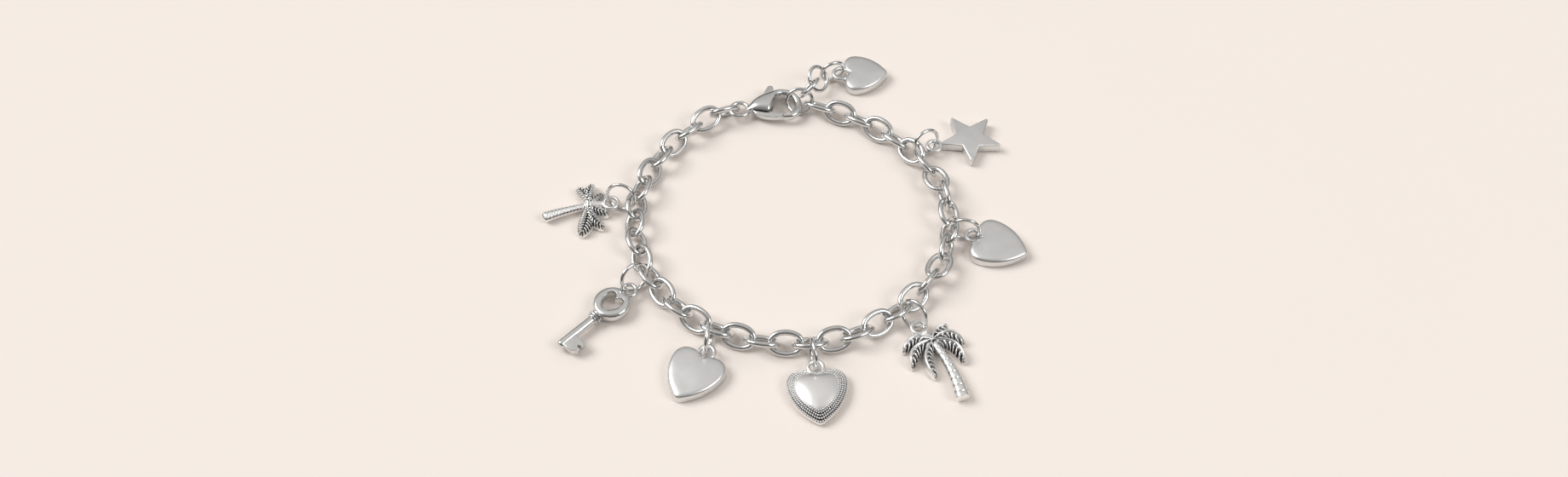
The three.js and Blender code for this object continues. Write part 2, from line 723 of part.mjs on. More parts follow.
function plainHeart(width, length, thickness) {
  return heartCharm({
    width,
    length,
    thickness,
    profile: HEART_PROFILE,
    eyeOuter: EYE_OUTER,
    eyeWire: EYE_WIRE,
    eyeHeight: EYE_HEIGHT,
  });
}

function starCharm() {
  const centreX = EYE_OUTER / 2 - SOLDER.star * EYE_WIRE + STAR_RADIUS;
  const outline = [];
  for (let i = 0; i < 5; i++) {
    const tip = 180 + 72 * i;
    const rows = [
      { turn: tip - STAR_TIP.degrees, share: STAR_TIP.share },
      { turn: tip, share: 1 },
      { turn: tip + STAR_TIP.degrees, share: STAR_TIP.share },
      { turn: tip + 36, share: STAR_INNER },
    ];
    for (const row of rows) {
      const point = direction(row.turn).multiplyScalar(row.share * STAR_RADIUS);
      outline.push(new THREE.Vector2(centreX + point.x, point.y));
    }
  }
  return joined(
    plate(outline, 0, STAR_THICKNESS, STAR_BEVEL),
    eyeGeometry(EYE_OUTER, EYE_WIRE, EYE_HEIGHT),
  );
}

function keyCharm() {
  const bow = new THREE.Shape();
  const bowStart = EYE_OUTER / 2 - SOLDER.bow * EYE_WIRE;
  const bowEnd = bowStart + KEY_BOW_OUTER;
  const bowX = (bowStart + bowEnd) / 2;
  for (let i = 0; i < BOW_STEPS; i++) {
    const turn = direction((360 * i) / BOW_STEPS).multiplyScalar(KEY_BOW_OUTER / 2);
    if (i === 0) bow.moveTo(bowX + turn.x, turn.y);
    else bow.lineTo(bowX + turn.x, turn.y);
  }
  bow.closePath();
  const hole = heartOutline(
    KEY_HOLE.width * KEY_BOW_OUTER,
    KEY_HOLE.length * KEY_BOW_OUTER,
    bowStart + KEY_HOLE.start * KEY_BOW_OUTER,
  );
  bow.holes.push(new THREE.Path(hole.getPoints(HOLE_STEPS).slice(0, -1)));
  const shaftStart = bowEnd - KEY_SHAFT / 2;
  const radius = KEY_SHAFT / 2;
  const profile = [[shaftStart, 0], [shaftStart, radius]];
  for (const collar of KEY_COLLARS) {
    const half = COLLAR_HALF * KEY_SHAFT;
    const x = bowEnd + collar.x * KEY_SHAFT;
    const top = collar.radius * KEY_SHAFT;
    profile.push([x - half, radius], [x - half / 2, top], [x + half / 2, top], [x + half, radius]);
  }
  profile.push([KEY_LENGTH - radius / 2, radius], [KEY_LENGTH, radius / 2], [KEY_LENGTH, 0]);
  const lathe = profile.map(([x, r]) => new THREE.Vector2(r, x));
  const tallest = Math.max(...KEY_COLLARS.map((row) => row.radius)) * KEY_SHAFT;
  const axisHeight = Math.max(tallest, KEY_THICKNESS / 2);
  const shaft = new THREE.LatheGeometry(lathe, SHAFT_SIDES);
  shaft.rotateZ(-Math.PI / 2).translate(0, 0, axisHeight);
  const bitStart = KEY_LENGTH - KEY_BIT_INSET - KEY_BIT_LENGTH;
  const bitOutline = KEY_BIT.map(
    (row) => new THREE.Vector2(bitStart + row.x * KEY_BIT_LENGTH, row.y * KEY_BIT_REACH),
  );
  return joined(
    plate(bow, axisHeight - KEY_THICKNESS / 2, KEY_THICKNESS, KEY_BEVEL),
    eyeGeometry(EYE_OUTER, EYE_WIRE, EYE_HEIGHT),
    shaft,
    plate(bitOutline, axisHeight - KEY_BIT_THICKNESS / 2, KEY_BIT_THICKNESS),
  );
}

// Points along a bent line from the crown, with the direction to its left.
function bentLine(crown, heading, reach, bend) {
  const tip = crown.clone().addScaledVector(direction(heading), reach);
  const left = direction(heading + 90);
  const middle = crown.clone().lerp(tip, 0.5).addScaledVector(left, 2 * bend);
  return new THREE.QuadraticBezierCurve3(crown, middle, tip);
}

function stripSection(curve, share, offset, halfWidth, bottom, top) {
  const place = curve.getPoint(share);
  const tangent = curve.getTangent(share);
  const left = new THREE.Vector3(-tangent.y, tangent.x, 0);
  const middle = (bottom + top) / 2;
  const rows = [
    { across: 1, z: middle },
    { across: STRIP_FLAT, z: top },
    { across: -STRIP_FLAT, z: top },
    { across: -1, z: middle },
    { across: -STRIP_FLAT, z: bottom },
    { across: STRIP_FLAT, z: bottom },
  ];
  return rows.map((row) => {
    const point = place.clone().addScaledVector(left, offset + row.across * halfWidth);
    point.z = row.z;
    return point;
  });
}

function frondLeaf(curve, width, side, thickness) {
  const [bottom, top] = [LEAF.bottom * thickness, LEAF.top * thickness];
  const sections = FROND_STATIONS.map((row) => {
    const offset = -side * LEAF.offset * row.width * width;
    return stripSection(curve, row.share, offset, LEAF.half * row.width * width, bottom, top);
  });
  return loft(sections);
}

function frondRib(curve, width, thickness) {
  const [bottom, top] = [RIB.bottom * thickness, RIB.top * thickness];
  const sections = FROND_STATIONS.map((row) => {
    const share = THREE.MathUtils.lerp(row.width, 1, RIB.even);
    return stripSection(curve, row.share, 0, RIB.half * share * width, bottom, top);
  });
  return loft(sections);
}

function trunkGeometry(crown, trunk, reach, width, thickness) {
  const curve = bentLine(crown, trunk.heading, reach, trunk.bend * reach);
  const sections = [];
  for (let i = 0; i < trunk.bands; i++) {
    const ends = [
      { at: BAND.start, width: BAND.grooveWidth, height: BAND.grooveHeight },
      { at: BAND.end, width: 1, height: 1 },
    ];
    for (const end of ends) {
      const share = (i + end.at) / trunk.bands;
      const half = THREE.MathUtils.lerp(TRUNK.slim, 1, share) * TRUNK.half * width * end.width;
      const top = THREE.MathUtils.lerp(TRUNK.low, TRUNK.high, share) * thickness * end.height;
      sections.push(stripSection(curve, share, 0, half, TRUNK.bottom * thickness, top));
    }
  }
  return loft(sections);
}

function palmCharm({ fronds, trunk, crownX, reach, thickness, trunkWidth, ribs }) {
  const crown = new THREE.Vector3(crownX, 0, 0);
  const pieces = [trunkGeometry(crown, trunk, reach, trunkWidth, thickness)];
  for (const frond of fronds) {
    const curve = bentLine(crown, frond.heading, frond.reach * reach, frond.bend * reach);
    const side = ribs ? Math.sign(frond.bend) : 0;
    pieces.push(frondLeaf(curve, frond.width * reach, side, thickness));
    pieces.push(frondRib(curve, frond.width * reach, thickness));
  }
  const neck = new THREE.LineCurve3(
    new THREE.Vector3((EYE_OUTER - EYE_WIRE) / 2, 0, 0),
    new THREE.Vector3(crownX + NECK.overlap * EYE_WIRE, 0, 0),
  );
  const neckHalf = NECK.half * EYE_WIRE;
  const neckTop = EYE_HEIGHT + NECK.above * EYE_WIRE;
  const neckBottom = EYE_HEIGHT - NECK.below * EYE_WIRE;
  pieces.push(
    loft([0, 1].map((share) => stripSection(neck, share, 0, neckHalf, neckBottom, neckTop))),
    eyeGeometry(EYE_OUTER, EYE_WIRE, EYE_HEIGHT),
  );
  return joined(...pieces);
}

const CHARMS = {
  palm_small: {
    finish: oxidised,
    geometry: palmCharm({
      fronds: SMALL_FRONDS,
      trunk: SMALL_TRUNK,
      crownX: SMALL_CROWN,
      reach: SMALL_PALM_REACH,
      thickness: SMALL_PALM_THICKNESS,
      trunkWidth: SMALL_PALM_TRUNK,
      ribs: false,
    }),
  },
  key: { finish: silver, geometry: keyCharm() },
  heart_left: {
    finish: satin,
    geometry: plainHeart(HEART_WIDTH, HEART_LENGTH, HEART_THICKNESS),
  },
  heart_beaded: {
    finish: oxidised,
    geometry: heartCharm({
      width: BEADED_HEART_WIDTH,
      length: BEADED_HEART_LENGTH,
      thickness: BEADED_HEART_THICKNESS,
      profile: PUFFY_PROFILE,
      eyeOuter: EYE_OUTER,
      eyeWire: EYE_WIRE,
      eyeHeight: EYE_HEIGHT,
    }),
  },
  palm_large: {
    finish: oxidised,
    geometry: palmCharm({
      fronds: LARGE_FRONDS,
      trunk: LARGE_TRUNK,
      crownX: LARGE_CROWN,
      reach: LARGE_PALM_REACH,
      thickness: LARGE_PALM_THICKNESS,
      trunkWidth: LARGE_PALM_TRUNK,
      ribs: true,
    }),
  },
  heart_right: {
    finish: satin,
    geometry: plainHeart(HEART_WIDTH, HEART_LENGTH, HEART_THICKNESS),
  },
  star: { finish: satin, geometry: starCharm() },
};

for (const [name, row] of Object.entries(HANGING)) {
  const link = links[row.link - 1];
  const halfLength = (LINK_LENGTH - LINK_WIRE) / 2;
  const halfWidth = (LINK_WIDTH - LINK_WIRE) / 2;
  const seat = link.centre.clone().addScaledVector(link.along, row.along * halfLength);
  const highSide = Math.sign(link.across.z) * Math.sqrt(1 - row.along ** 2);
  seat.addScaledVector(link.across, halfWidth * highSide);
  const ring = ringRound({
    ...row,
    near: seat,
    nearWire: LINK_WIRE,
    farWire: EYE_WIRE,
    farHeight: EYE_HEIGHT,
    outer: JUMP_RING_OUTER,
    wire: JUMP_RING_WIRE,
  });
  const geometry = ringGeometry(JUMP_RING_OUTER, JUMP_RING_WIRE, RING_STEPS, RING_SIDES);
  settle(add("jump_ring_" + name, geometry, silver), ring.centre, ring.along, ring.across);
  const charm = add("charm_" + name, CHARMS[name].geometry, CHARMS[name].finish);
  charm.position.copy(ring.far).addScaledVector(ring.level, (EYE_OUTER - EYE_WIRE) / 2);
  charm.position.z = 0;
  charm.rotation.z = radians(row.turn);
}

const endHeart = heartCharm({
  width: END_HEART_WIDTH,
  length: END_HEART_LENGTH,
  thickness: END_HEART_THICKNESS,
  profile: HEART_PROFILE,
  eyeOuter: HEART_EYE_OUTER,
  eyeWire: HEART_EYE_WIRE,
  eyeHeight: EYE_HEIGHT,
});
const endCharm = add("charm_heart_end", endHeart, satin);
const endHeartStep = END_HEART_SEAT * (HEART_EYE_OUTER - HEART_EYE_WIRE) / 2;
endCharm.position.copy(hangingFrom).addScaledVector(endHeartLevel, endHeartStep);
endCharm.position.z = 0;
endCharm.rotation.z = radians(END_HEART_TURN);

// The origin is under the middle of the whole bracelet, on the surface it lies on.

bracelet.updateMatrixWorld(true);
const box = new THREE.Box3().setFromObject(bracelet, true);
const part = new THREE.Group();
const middle = box.getCenter(new THREE.Vector3());
bracelet.position.set(-middle.x, -middle.y, -box.min.z);
part.add(bracelet);

export default part;
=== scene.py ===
import json
import math

import bmesh
import bpy
import numpy as np
from mathutils import Matrix, Vector


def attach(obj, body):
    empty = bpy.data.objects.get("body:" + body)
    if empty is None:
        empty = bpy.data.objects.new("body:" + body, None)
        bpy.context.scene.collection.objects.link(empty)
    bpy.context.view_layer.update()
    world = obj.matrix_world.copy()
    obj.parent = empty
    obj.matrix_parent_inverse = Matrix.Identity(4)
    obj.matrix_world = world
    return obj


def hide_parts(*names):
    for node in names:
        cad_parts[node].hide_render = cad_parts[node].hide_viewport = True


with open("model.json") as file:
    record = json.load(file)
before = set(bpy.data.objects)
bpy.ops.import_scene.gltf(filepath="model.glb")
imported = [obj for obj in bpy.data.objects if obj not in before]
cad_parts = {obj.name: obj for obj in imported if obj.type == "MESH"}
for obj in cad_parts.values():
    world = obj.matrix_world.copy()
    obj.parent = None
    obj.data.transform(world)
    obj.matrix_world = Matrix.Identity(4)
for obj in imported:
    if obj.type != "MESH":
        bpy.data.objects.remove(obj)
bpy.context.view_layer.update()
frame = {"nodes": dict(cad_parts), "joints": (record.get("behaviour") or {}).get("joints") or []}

NODES = frame["nodes"]

# Lengths are millimetres in the part's frame, and meshes are scaled to metres at the end.
MM = 0.001
# An inset outline's sharp corners move at most this much farther: 1 / MITRE_LIMIT times.
MITRE_LIMIT = 0.35

# Camera: the photograph's view of the bracelet
CAMERA_TARGET = (0.46, -2.985, 0.0)
CAMERA_ELEVATION = 52.5
CAMERA_DISTANCE = 270.0
CAMERA_LENS = 32.41
SENSOR_WIDTH = 36.0

# Floor, lights and tent
# The round wires reach a little lower than the faceted ones that they stand for.
FLOOR_DROP = 0.11
FLOOR_HALF = 1.5
FLOOR_TONES = ((0.89, 0.82, 0.766), (0.9, 0.83, 0.776))
# Each light's name, direction from the bracelet, spread in degrees and strength.
LIGHTS = [
    ("key_light", (-1.1, 0.25, 1.15), 35, 1.85),
    ("fill_light", (1.1, -0.5, 1.1), 28, 0.85),
]
# The tent's tone by the share of height, and by depth from the front to the back.
TENT_BY_HEIGHT = [(0.0, 0.015), (0.12, 0.02), (0.22, 0.12), (0.4, 0.46), (0.7, 0.62), (1.0, 0.8)]
TENT_BY_DEPTH = [(0.0, 0.3), (0.35, 0.45), (0.6, 0.9), (1.0, 1.0)]
TENT_STRENGTH = 1.05
TENT_WARMTH = (1.0, 0.985, 0.97)

# Metals: the tones and roughness between which a faint cloud varies, and the fine grain.
# Noise scales are in features a millimetre.
POLISHED = {
    "dark": (0.64, 0.645, 0.645), "light": (0.76, 0.765, 0.76), "rough": (0.17, 0.25),
    "cloud": 0.35, "grain": 1.6, "grain_height": 0.02, "bump": 0.35,
}
SATIN = {
    "dark": (0.71, 0.715, 0.715), "light": (0.84, 0.845, 0.84), "rough": (0.32, 0.4),
    "cloud": 0.3, "grain": 7.0, "grain_height": 0.01, "bump": 0.4,
}
OXIDISED = {
    "bright": (0.9, 0.9, 0.89), "black": (0.02, 0.019, 0.018), "rough": (0.32, 0.6),
    "grain": 6.0, "grain_height": 0.015, "bump": 0.4,
}
CLOUD_RANGE = (0.3, 0.7)
SHARP_ANGLE = 35
CLASP_SHARP_ANGLE = 30

# Wires
LINK_WIRE = 1.05
LINK_ROUNDNESS = 2.15
RING_WIRE = {"end": 0.75, "extender": 0.75, "jump": 0.7}
WIRE_STEPS = 72
WIRE_SIDES = 16

# Clasp
CLASP_REACH = 12.85
CLASP_WIDTH = 7.6
CLASP_THICKNESS = 3.4
CLASP_EYE_OUTER = 4.5
CLASP_EYE_WIRE = 0.85
CLASP_FULLNESS = 0.85
CLASP_SIDES = 40
CLASP_STEPS = 6
LEVER_STEPS = 5
LEVER_THICKNESS = 1.1
LEVER_SIDE_GAP = 0.25
LEVER_EDGE = 0.16
PIN_DIAMETER = 1.0
PIN_CLEARANCE = 0.2
PIN_SEAT = 0.28
GATE_REACH = 5.3
GATE_SEAM = 0.3
PIVOT = (0.327, 0.039)

# Edge pairs from the neck, over the belly and round the hook to its tip, as shares of the
# clasp's reach, width and thickness: outer x, outer y, inner x, inner y, thick.
CLASP_SECTIONS = [
    (0.128, 0.09, 0.128, -0.07, 0.3),
    (0.226, 0.309, 0.226, -0.112, 0.76),
    (0.358, 0.487, 0.342, -0.151, 0.97),
    (0.482, 0.599, 0.467, -0.171, 1.0),
    (0.568, 0.638, 0.525, 0.079, 0.94),
    (0.646, 0.651, 0.568, 0.303, 0.85),
    (0.732, 0.638, 0.654, 0.421, 0.76),
    (0.833, 0.579, 0.763, 0.408, 0.7),
    (0.918, 0.461, 0.833, 0.329, 0.62),
    (0.981, 0.289, 0.864, 0.224, 0.53),
    (1.0, 0.092, 0.875, 0.092, 0.47),
    (0.981, -0.105, 0.86, -0.039, 0.47),
    (0.918, -0.25, 0.825, -0.132, 0.47),
    (0.833, -0.336, 0.778, -0.184, 0.47),
]
HOOK_TIP = {"outer": -0.362, "inner": -0.211, "thick": 0.47}
LEVER_BOTTOM = [
    (0.584, -0.342), (0.467, -0.329), (0.358, -0.289), (0.257, -0.197),
    (0.214, -0.066), (0.226, 0.079), (0.28, 0.197),
]
LEVER_TOP = [(0.405, 0.132), (0.436, -0.079), (0.514, -0.132), (0.623, -0.158)]
TAB = {"x": 0.486, "y": 0.724, "radius": 0.092}
GATE_END = {"top": -0.197, "bottom": -0.322}
SLOT = [
    (0.183, -0.53), (0.591, -0.53), (0.591, 0.145), (0.447, 0.145),
    (0.584, 0.855), (0.226, 0.855), (0.183, 0.066),
]

# Charms: each one's heading in degrees, and its eye
CHARM_TURN = {
    "palm_small": 183, "key": -134, "heart_left": -118, "heart_beaded": -86,
    "palm_large": -50, "heart_right": -23, "star": 16, "heart_end": 2,
}
EYE_OUTER = 3.5
EYE_WIRE = 0.8
EYE_HEIGHT = 1.5
END_EYE_OUTER = 4.1
END_EYE_WIRE = 0.9

# Hearts
HEART = {"width": 10.4, "length": 10.4, "thick": 2.2}
BEADED_HEART = {"width": 11.1, "length": 10.9, "thick": 2.8}
END_HEART = {"width": 9.8, "length": 8.9, "thick": 2.3}
# One side of an outline, in shares of its length and width: each span's end and the two
# controls before it, from the notch to the tip.
HEART_SHAPE = {
    "notch": (0.1, 0.0),
    "spans": [
        [(0.02, 0.05), (0.0, 0.155), (0.0, 0.26)],
        [(0.0, 0.395), (0.096, 0.5), (0.25, 0.5)],
        [(0.5, 0.5), (0.76, 0.35), (0.925, 0.135)],
        [(0.965, 0.085), (1.0, 0.05), (1.0, 0.0)],
    ],
}
HOLE_SHAPE = {
    "notch": (0.24, 0.0),
    "spans": [
        [(0.12, 0.05), (0.0, 0.13), (0.0, 0.26)],
        [(0.0, 0.39), (0.11, 0.5), (0.3, 0.5)],
        [(0.55, 0.5), (0.76, 0.38), (0.92, 0.21)],
        [(0.97, 0.15), (1.0, 0.08), (1.0, 0.0)],
    ],
}
HEART_CENTRE = 0.4
HEART_STEPS = 14
# The crown's oval in shares of the heart, and the outline scales where it takes over.
CROWN_OVAL = 0.42
CROWN_BLEND = (0.95, 0.35)
# Outline scale and height share at each level, from the back to the crown.
HEART_LEVELS = [
    (0.95, 0.0), (0.98, 0.035), (1.0, 0.1), (1.0, 0.35), (1.0, 0.6), (0.994, 0.67),
    (0.98, 0.75), (0.955, 0.82), (0.92, 0.87), (0.87, 0.91), (0.79, 0.94),
    (0.67, 0.962), (0.52, 0.98), (0.36, 0.99), (0.18, 0.997),
]
BEADED_LEVELS = [
    (0.86, 0.0), (0.93, 0.03), (0.975, 0.1), (1.0, 0.22), (1.0, 0.3), (0.99, 0.38),
    (0.97, 0.45), (0.94, 0.51), (0.9, 0.575), (0.85, 0.64), (0.79, 0.705), (0.72, 0.77),
    (0.66, 0.825), (0.59, 0.877), (0.51, 0.922), (0.42, 0.957), (0.31, 0.982), (0.18, 0.996),
]
# Rows of beads: outline scale, bead radius and how much of it is sunk.
BEAD_ROWS = [
    (0.955, 0.2, 0.3), (0.885, 0.2, 0.3), (0.815, 0.19, 0.4), (0.745, 0.17, 0.6), (0.68, 0.15, 0.75),
]
BEAD_PITCH = 0.43
# The border starts above the wall, is darkened between these outline scales and gets darker
# from the lobes to the tip. The beads themselves keep only a share of that.
BORDER_FLOOR = 0.3
BORDER_WALL = 0.4
BEAD_BAND = (0.66, 0.8)
BORDER_DARK = (0.5, 0.48)
BORDER_REACH = (-0.5, 0.6)
BEAD_DARK = 0.12

# Star
STAR_RADIUS = 6.2
STAR_THICK = 2.0
STAR_INNER = 0.46
STAR_EDGE = 0.3
STAR_SINK = 0.26
# One arm's outline: degrees from its tip and share of the radius, up to the inner corner.
STAR_ARM = [(-3, 0.968), (-1.6, 0.99), (0, 0.997), (1.6, 0.99), (3, 0.968), (36, STAR_INNER)]

# Key
KEY_LENGTH = 16.9
KEY_BOW_OUTER = 6.9
KEY_THICK = 2.0
KEY_SHAFT = 1.7
KEY_BOW_SINK = 0.96
KEY_HOLE = {"start": 0.25, "length": 0.53, "width": 0.53}
KEY_COLLARS = [(0.13, 0.775), (0.418, 0.855), (0.706, 0.736)]
COLLAR_HALF = 0.119
COLLAR_TURNS = (30, 60, 90, 120, 150)
# The shaft's rounded end: how far back it starts and its flat's radius, in shares of its own.
KEY_TIP_BACK = 0.6
KEY_TIP_FLAT = 0.35
KEY_TIP_TURNS = (0, 25, 45, 65, 80)
KEY_BIT_LENGTH = 3.2
KEY_BIT_REACH = 3.4
KEY_BIT_INSET = 0.5
KEY_BIT_THICK = 1.28
KEY_BIT_EDGE = 0.12
KEY_BIT = [
    (0.0, 0.0), (1.0, 0.0), (0.974, 0.75), (0.711, 1.0), (0.553, 1.0),
    (0.516, 0.75), (0.432, 0.75), (0.395, 1.0), (0.105, 0.95),
]
# The bow's section from the hole's rim to the outer rim: share across, height share.
BOW_SECTION = [
    (0.0, 0.25), (0.0, 0.76), (0.04, 0.89), (0.13, 0.97), (0.3, 1.0), (0.58, 1.0),
    (0.8, 0.95), (0.94, 0.84), (1.0, 0.66), (1.0, 0.32), (0.95, 0.13), (0.82, 0.02),
    (0.6, 0.0), (0.2, 0.0), (0.03, 0.1),
]

# Palms: heading, reach, bend and width of each frond; bend is positive to its left
LARGE_PALM = {"reach": 12.8, "thick": 2.2, "trunk": 2.6, "crown": 3.55, "voxel": 0.065}
LARGE_FRONDS = [
    (97, 0.37, 0.08, 0.16), (46, 0.46, 0.16, 0.18), (11, 0.55, 0.16, 0.18),
    (-39, 0.6, -0.12, 0.18), (-75, 0.54, -0.14, 0.18), (-108, 0.46, -0.14, 0.17),
]
LARGE_TRUNK = {
    "heading": -19, "bend": 0.055, "bands": 9, "curl": 0.3, "slant": 0.0,
    "groove": 0.1, "depth": 0.16, "slim": 0.45, "end": 0.99,
}
SMALL_PALM = {"reach": 9.2, "thick": 2.0, "trunk": 2.2, "crown": 4.25, "voxel": 0.052}
SMALL_FRONDS = [
    (-58, 0.57, -0.06, 0.27), (-97, 0.6, 0.05, 0.25), (79, 0.8, 0.04, 0.34),
    (118, 0.7, -0.08, 0.24), (150, 0.5, -0.05, 0.2), (-140, 0.44, 0.04, 0.2),
]
SMALL_TRUNK = {
    "heading": 17, "bend": -0.02, "bands": 13, "curl": 0.1, "slant": 0.45,
    "groove": 0.19, "depth": 0.24, "slim": 0.5, "end": 0.93,
}
# Each palm's leaflets: spacing, lean towards the tip in spacings, and the share of a
# frond's length where it is widest.
LARGE_LEAFLETS = {"pitch": 1.0, "lean": 1.1, "widest": 0.5}
SMALL_LEAFLETS = {"pitch": 0.62, "lean": 1.3, "widest": 0.6}
MOST_TRIANGLES = 150000
FROND_SECTIONS = 110
FROND_POINTS = 31
FROND_END = 0.998
FROND_START_WIDTH = 0.4
# A frond's back, the dip of its edge at each groove, and how abruptly its tip drops.
FROND_BACK = {"height": 0.04, "half": 0.9}
FROND_NOTCH = 0.08
FROND_DROP = 14
GROOVE_EDGE = (0.12, 0.36)
# A trunk's half height at its crown and what it gains, as shares of the palm's thickness.
TRUNK_RISE = (0.36, 0.12)
TRUNK_FLOOR = 0.05
TRUNK_FULLNESS = 0.85
TRUNK_SIDES = 36
BAND_SECTIONS = 14
# A groove's depth is measured against the tops within this many cells around it. Between
# these depths the ground turns dark, where it faces up by more than a share.
HOLLOW_CELL = 0.06
HOLLOW_REACH = 7
HOLLOW_DEPTHS = (-0.05, 0.08)
HOLLOW_FACING = (0.1, 0.5)


# Vectors and curves


def heading(degrees):
    return np.array([math.cos(math.radians(degrees)), math.sin(math.radians(degrees)), 0.0])


def catmull(points, steps):
    """A smooth curve through the points, with that many steps between neighbours."""
    points = np.asarray(points, float)
    padded = np.vstack([2 * points[0] - points[1], points, 2 * points[-1] - points[-2]])
    rows = []
    for span in range(len(points) - 1):
        a, b, c, d = padded[span:span + 4]
        for t in np.arange(steps) / steps:
            rows.append(
                0.5 * (2 * b + (c - a) * t + (2 * a - 5 * b + 4 * c - d) * t ** 2
                       + (3 * b - a - 3 * c + d) * t ** 3)
            )
    rows.append(points[-1])
    return np.array(rows)


def bezier(a, b, c, d, steps):
    t = np.linspace(0, 1, steps, endpoint=False)[:, None]
    a, b, c, d = (np.asarray(p, float) for p in (a, b, c, d))
    return (1 - t) ** 3 * a + 3 * (1 - t) ** 2 * t * b + 3 * (1 - t) * t ** 2 * c + t ** 3 * d


def circle(centre, radius, count=24):
    return [centre + radius * heading(360 * i / count)[:2] for i in range(count)]


def inset(outline, distance):
    """A closed outline moved inwards by a distance, corner by corner."""
    before = outline - np.roll(outline, 1, axis=0)
    after = np.roll(outline, -1, axis=0) - outline
    before /= np.linalg.norm(before, axis=1)[:, None]
    after /= np.linalg.norm(after, axis=1)[:, None]
    turn = 1 if signed_area(outline) > 0 else -1
    normal = turn * np.stack([-(before + after)[:, 1], (before + after)[:, 0]], axis=1)
    size = np.linalg.norm(normal, axis=1)[:, None]
    normal /= size
    stretch = np.clip(size / 2, MITRE_LIMIT, 1)
    return outline + normal * distance / stretch


def signed_area(outline):
    x, y = outline[:, 0], outline[:, 1]
    return 0.5 * float(np.sum(x * np.roll(y, -1) - y * np.roll(x, -1)))


# Shells: each is a pair of points and faces, closed, in millimetres


def joined(*shells):
    points, faces, start = [], [], 0
    for shell_points, shell_faces in shells:
        points.append(np.asarray(shell_points, float))
        faces += [[i + start for i in face] for face in shell_faces]
        start += len(shell_points)
    return np.vstack(points), faces


def loft(sections, loop=False):
    """Quads between sections of equal point count, closed by a fan at each end or a loop."""
    sections = [np.asarray(s, float) for s in sections]
    sides = len(sections[0])
    points = list(np.vstack(sections))
    faces = []
    rows = len(sections)
    for i in range(rows if loop else rows - 1):
        after = (i + 1) % rows
        for j in range(sides):
            k = (j + 1) % sides
            faces.append([i * sides + j, i * sides + k, after * sides + k, after * sides + j])
    if not loop:
        for row, order in ((0, 1), (rows - 1, -1)):
            points.append(sections[row].mean(axis=0))
            middle = len(points) - 1
            for j in range(sides):
                edge = [row * sides + (j + 1) % sides, row * sides + j]
                faces.append([middle] + edge[::order])
    return np.array(points), faces


def prism(outline, levels):
    """A plate whose outline is inset by an amount at each height, with flat ends."""
    outline = np.asarray(outline, float)[:, :2]
    sides = len(outline)
    points, faces = [], []
    for distance, height in levels:
        edge = inset(outline, distance) if distance else outline
        points.append(np.column_stack([edge, np.full(sides, height)]))
    for i in range(len(levels) - 1):
        for j in range(sides):
            k = (j + 1) % sides
            faces.append([i * sides + j, i * sides + k, (i + 1) * sides + k, (i + 1) * sides + j])
    faces.append(list(range(sides))[::-1])
    faces.append(list(range((len(levels) - 1) * sides, len(levels) * sides)))
    return np.vstack(points), faces


def rounded_levels(bottom, top, edge, steps=4):
    """Insets and heights that round both rims of a plate by an edge radius."""
    quarter = [math.pi / 2 * i / steps for i in range(steps + 1)]
    lower = [(edge * (1 - math.sin(a)), bottom + edge * (1 - math.cos(a))) for a in quarter]
    upper = [(edge * (1 - math.sin(a)), top - edge * (1 - math.cos(a))) for a in quarter[::-1]]
    return lower + upper


def ring(outer, wire, height, steps=WIRE_STEPS, sides=WIRE_SIDES):
    radius = (outer - wire) / 2
    sections = []
    for i in range(steps):
        out = heading(360 * i / steps)
        section = []
        for j in range(sides):
            turn = 2 * math.pi * j / sides
            place = out * (radius + wire / 2 * math.cos(turn))
            section.append(place + [0, 0, height + wire / 2 * math.sin(turn)])
        sections.append(section)
    return loft(sections, loop=True)


def lathe(profile, height, sides=28):
    """Rows of (x, radius) turned about a level axis along +X at a height."""
    sections = []
    for x, radius in profile:
        turns = [2 * math.pi * j / sides for j in range(sides)]
        sections.append([(x, radius * math.cos(a), height + radius * math.sin(a)) for a in turns])
    return loft(sections)


def ball(centre, radius, cuts=2):
    maker = bmesh.new()
    bmesh.ops.create_icosphere(maker, subdivisions=cuts, radius=radius)
    points = np.array([v.co for v in maker.verts]) + np.asarray(centre)
    faces = [[v.index for v in f.verts] for f in maker.faces]
    maker.free()
    return points, faces


# Blender meshes


def mesh_of(shell, name):
    points, faces = shell
    mesh = bpy.data.meshes.new(name)
    mesh.from_pydata([tuple(p) for p in points], [], faces)
    maker = bmesh.new()
    maker.from_mesh(mesh)
    bmesh.ops.recalc_face_normals(maker, faces=maker.faces)
    maker.to_mesh(mesh)
    maker.free()
    return mesh


def scratch(shell, name):
    thing = bpy.data.objects.new(name, mesh_of(shell, name))
    bpy.context.scene.collection.objects.link(thing)
    return thing


def evaluated(thing):
    """The shell of an object with its modifiers applied."""
    graph = bpy.context.evaluated_depsgraph_get()
    mesh = thing.evaluated_get(graph).to_mesh()
    points = np.zeros(len(mesh.vertices) * 3)
    mesh.vertices.foreach_get("co", points)
    faces = [list(p.vertices) for p in mesh.polygons]
    thing.evaluated_get(graph).to_mesh_clear()
    return points.reshape(-1, 3), faces


def carved(base, others, operation):
    """The base shell with each other shell joined to it or cut from it."""
    things = [scratch(base, "base")]
    for other in others:
        things.append(scratch(other, "other"))
        step = things[0].modifiers.new("step", "BOOLEAN")
        step.operation = operation
        step.solver = "EXACT"
        step.object = things[-1]
    result = evaluated(things[0])
    for thing in things:
        bpy.data.meshes.remove(thing.data)
    return result


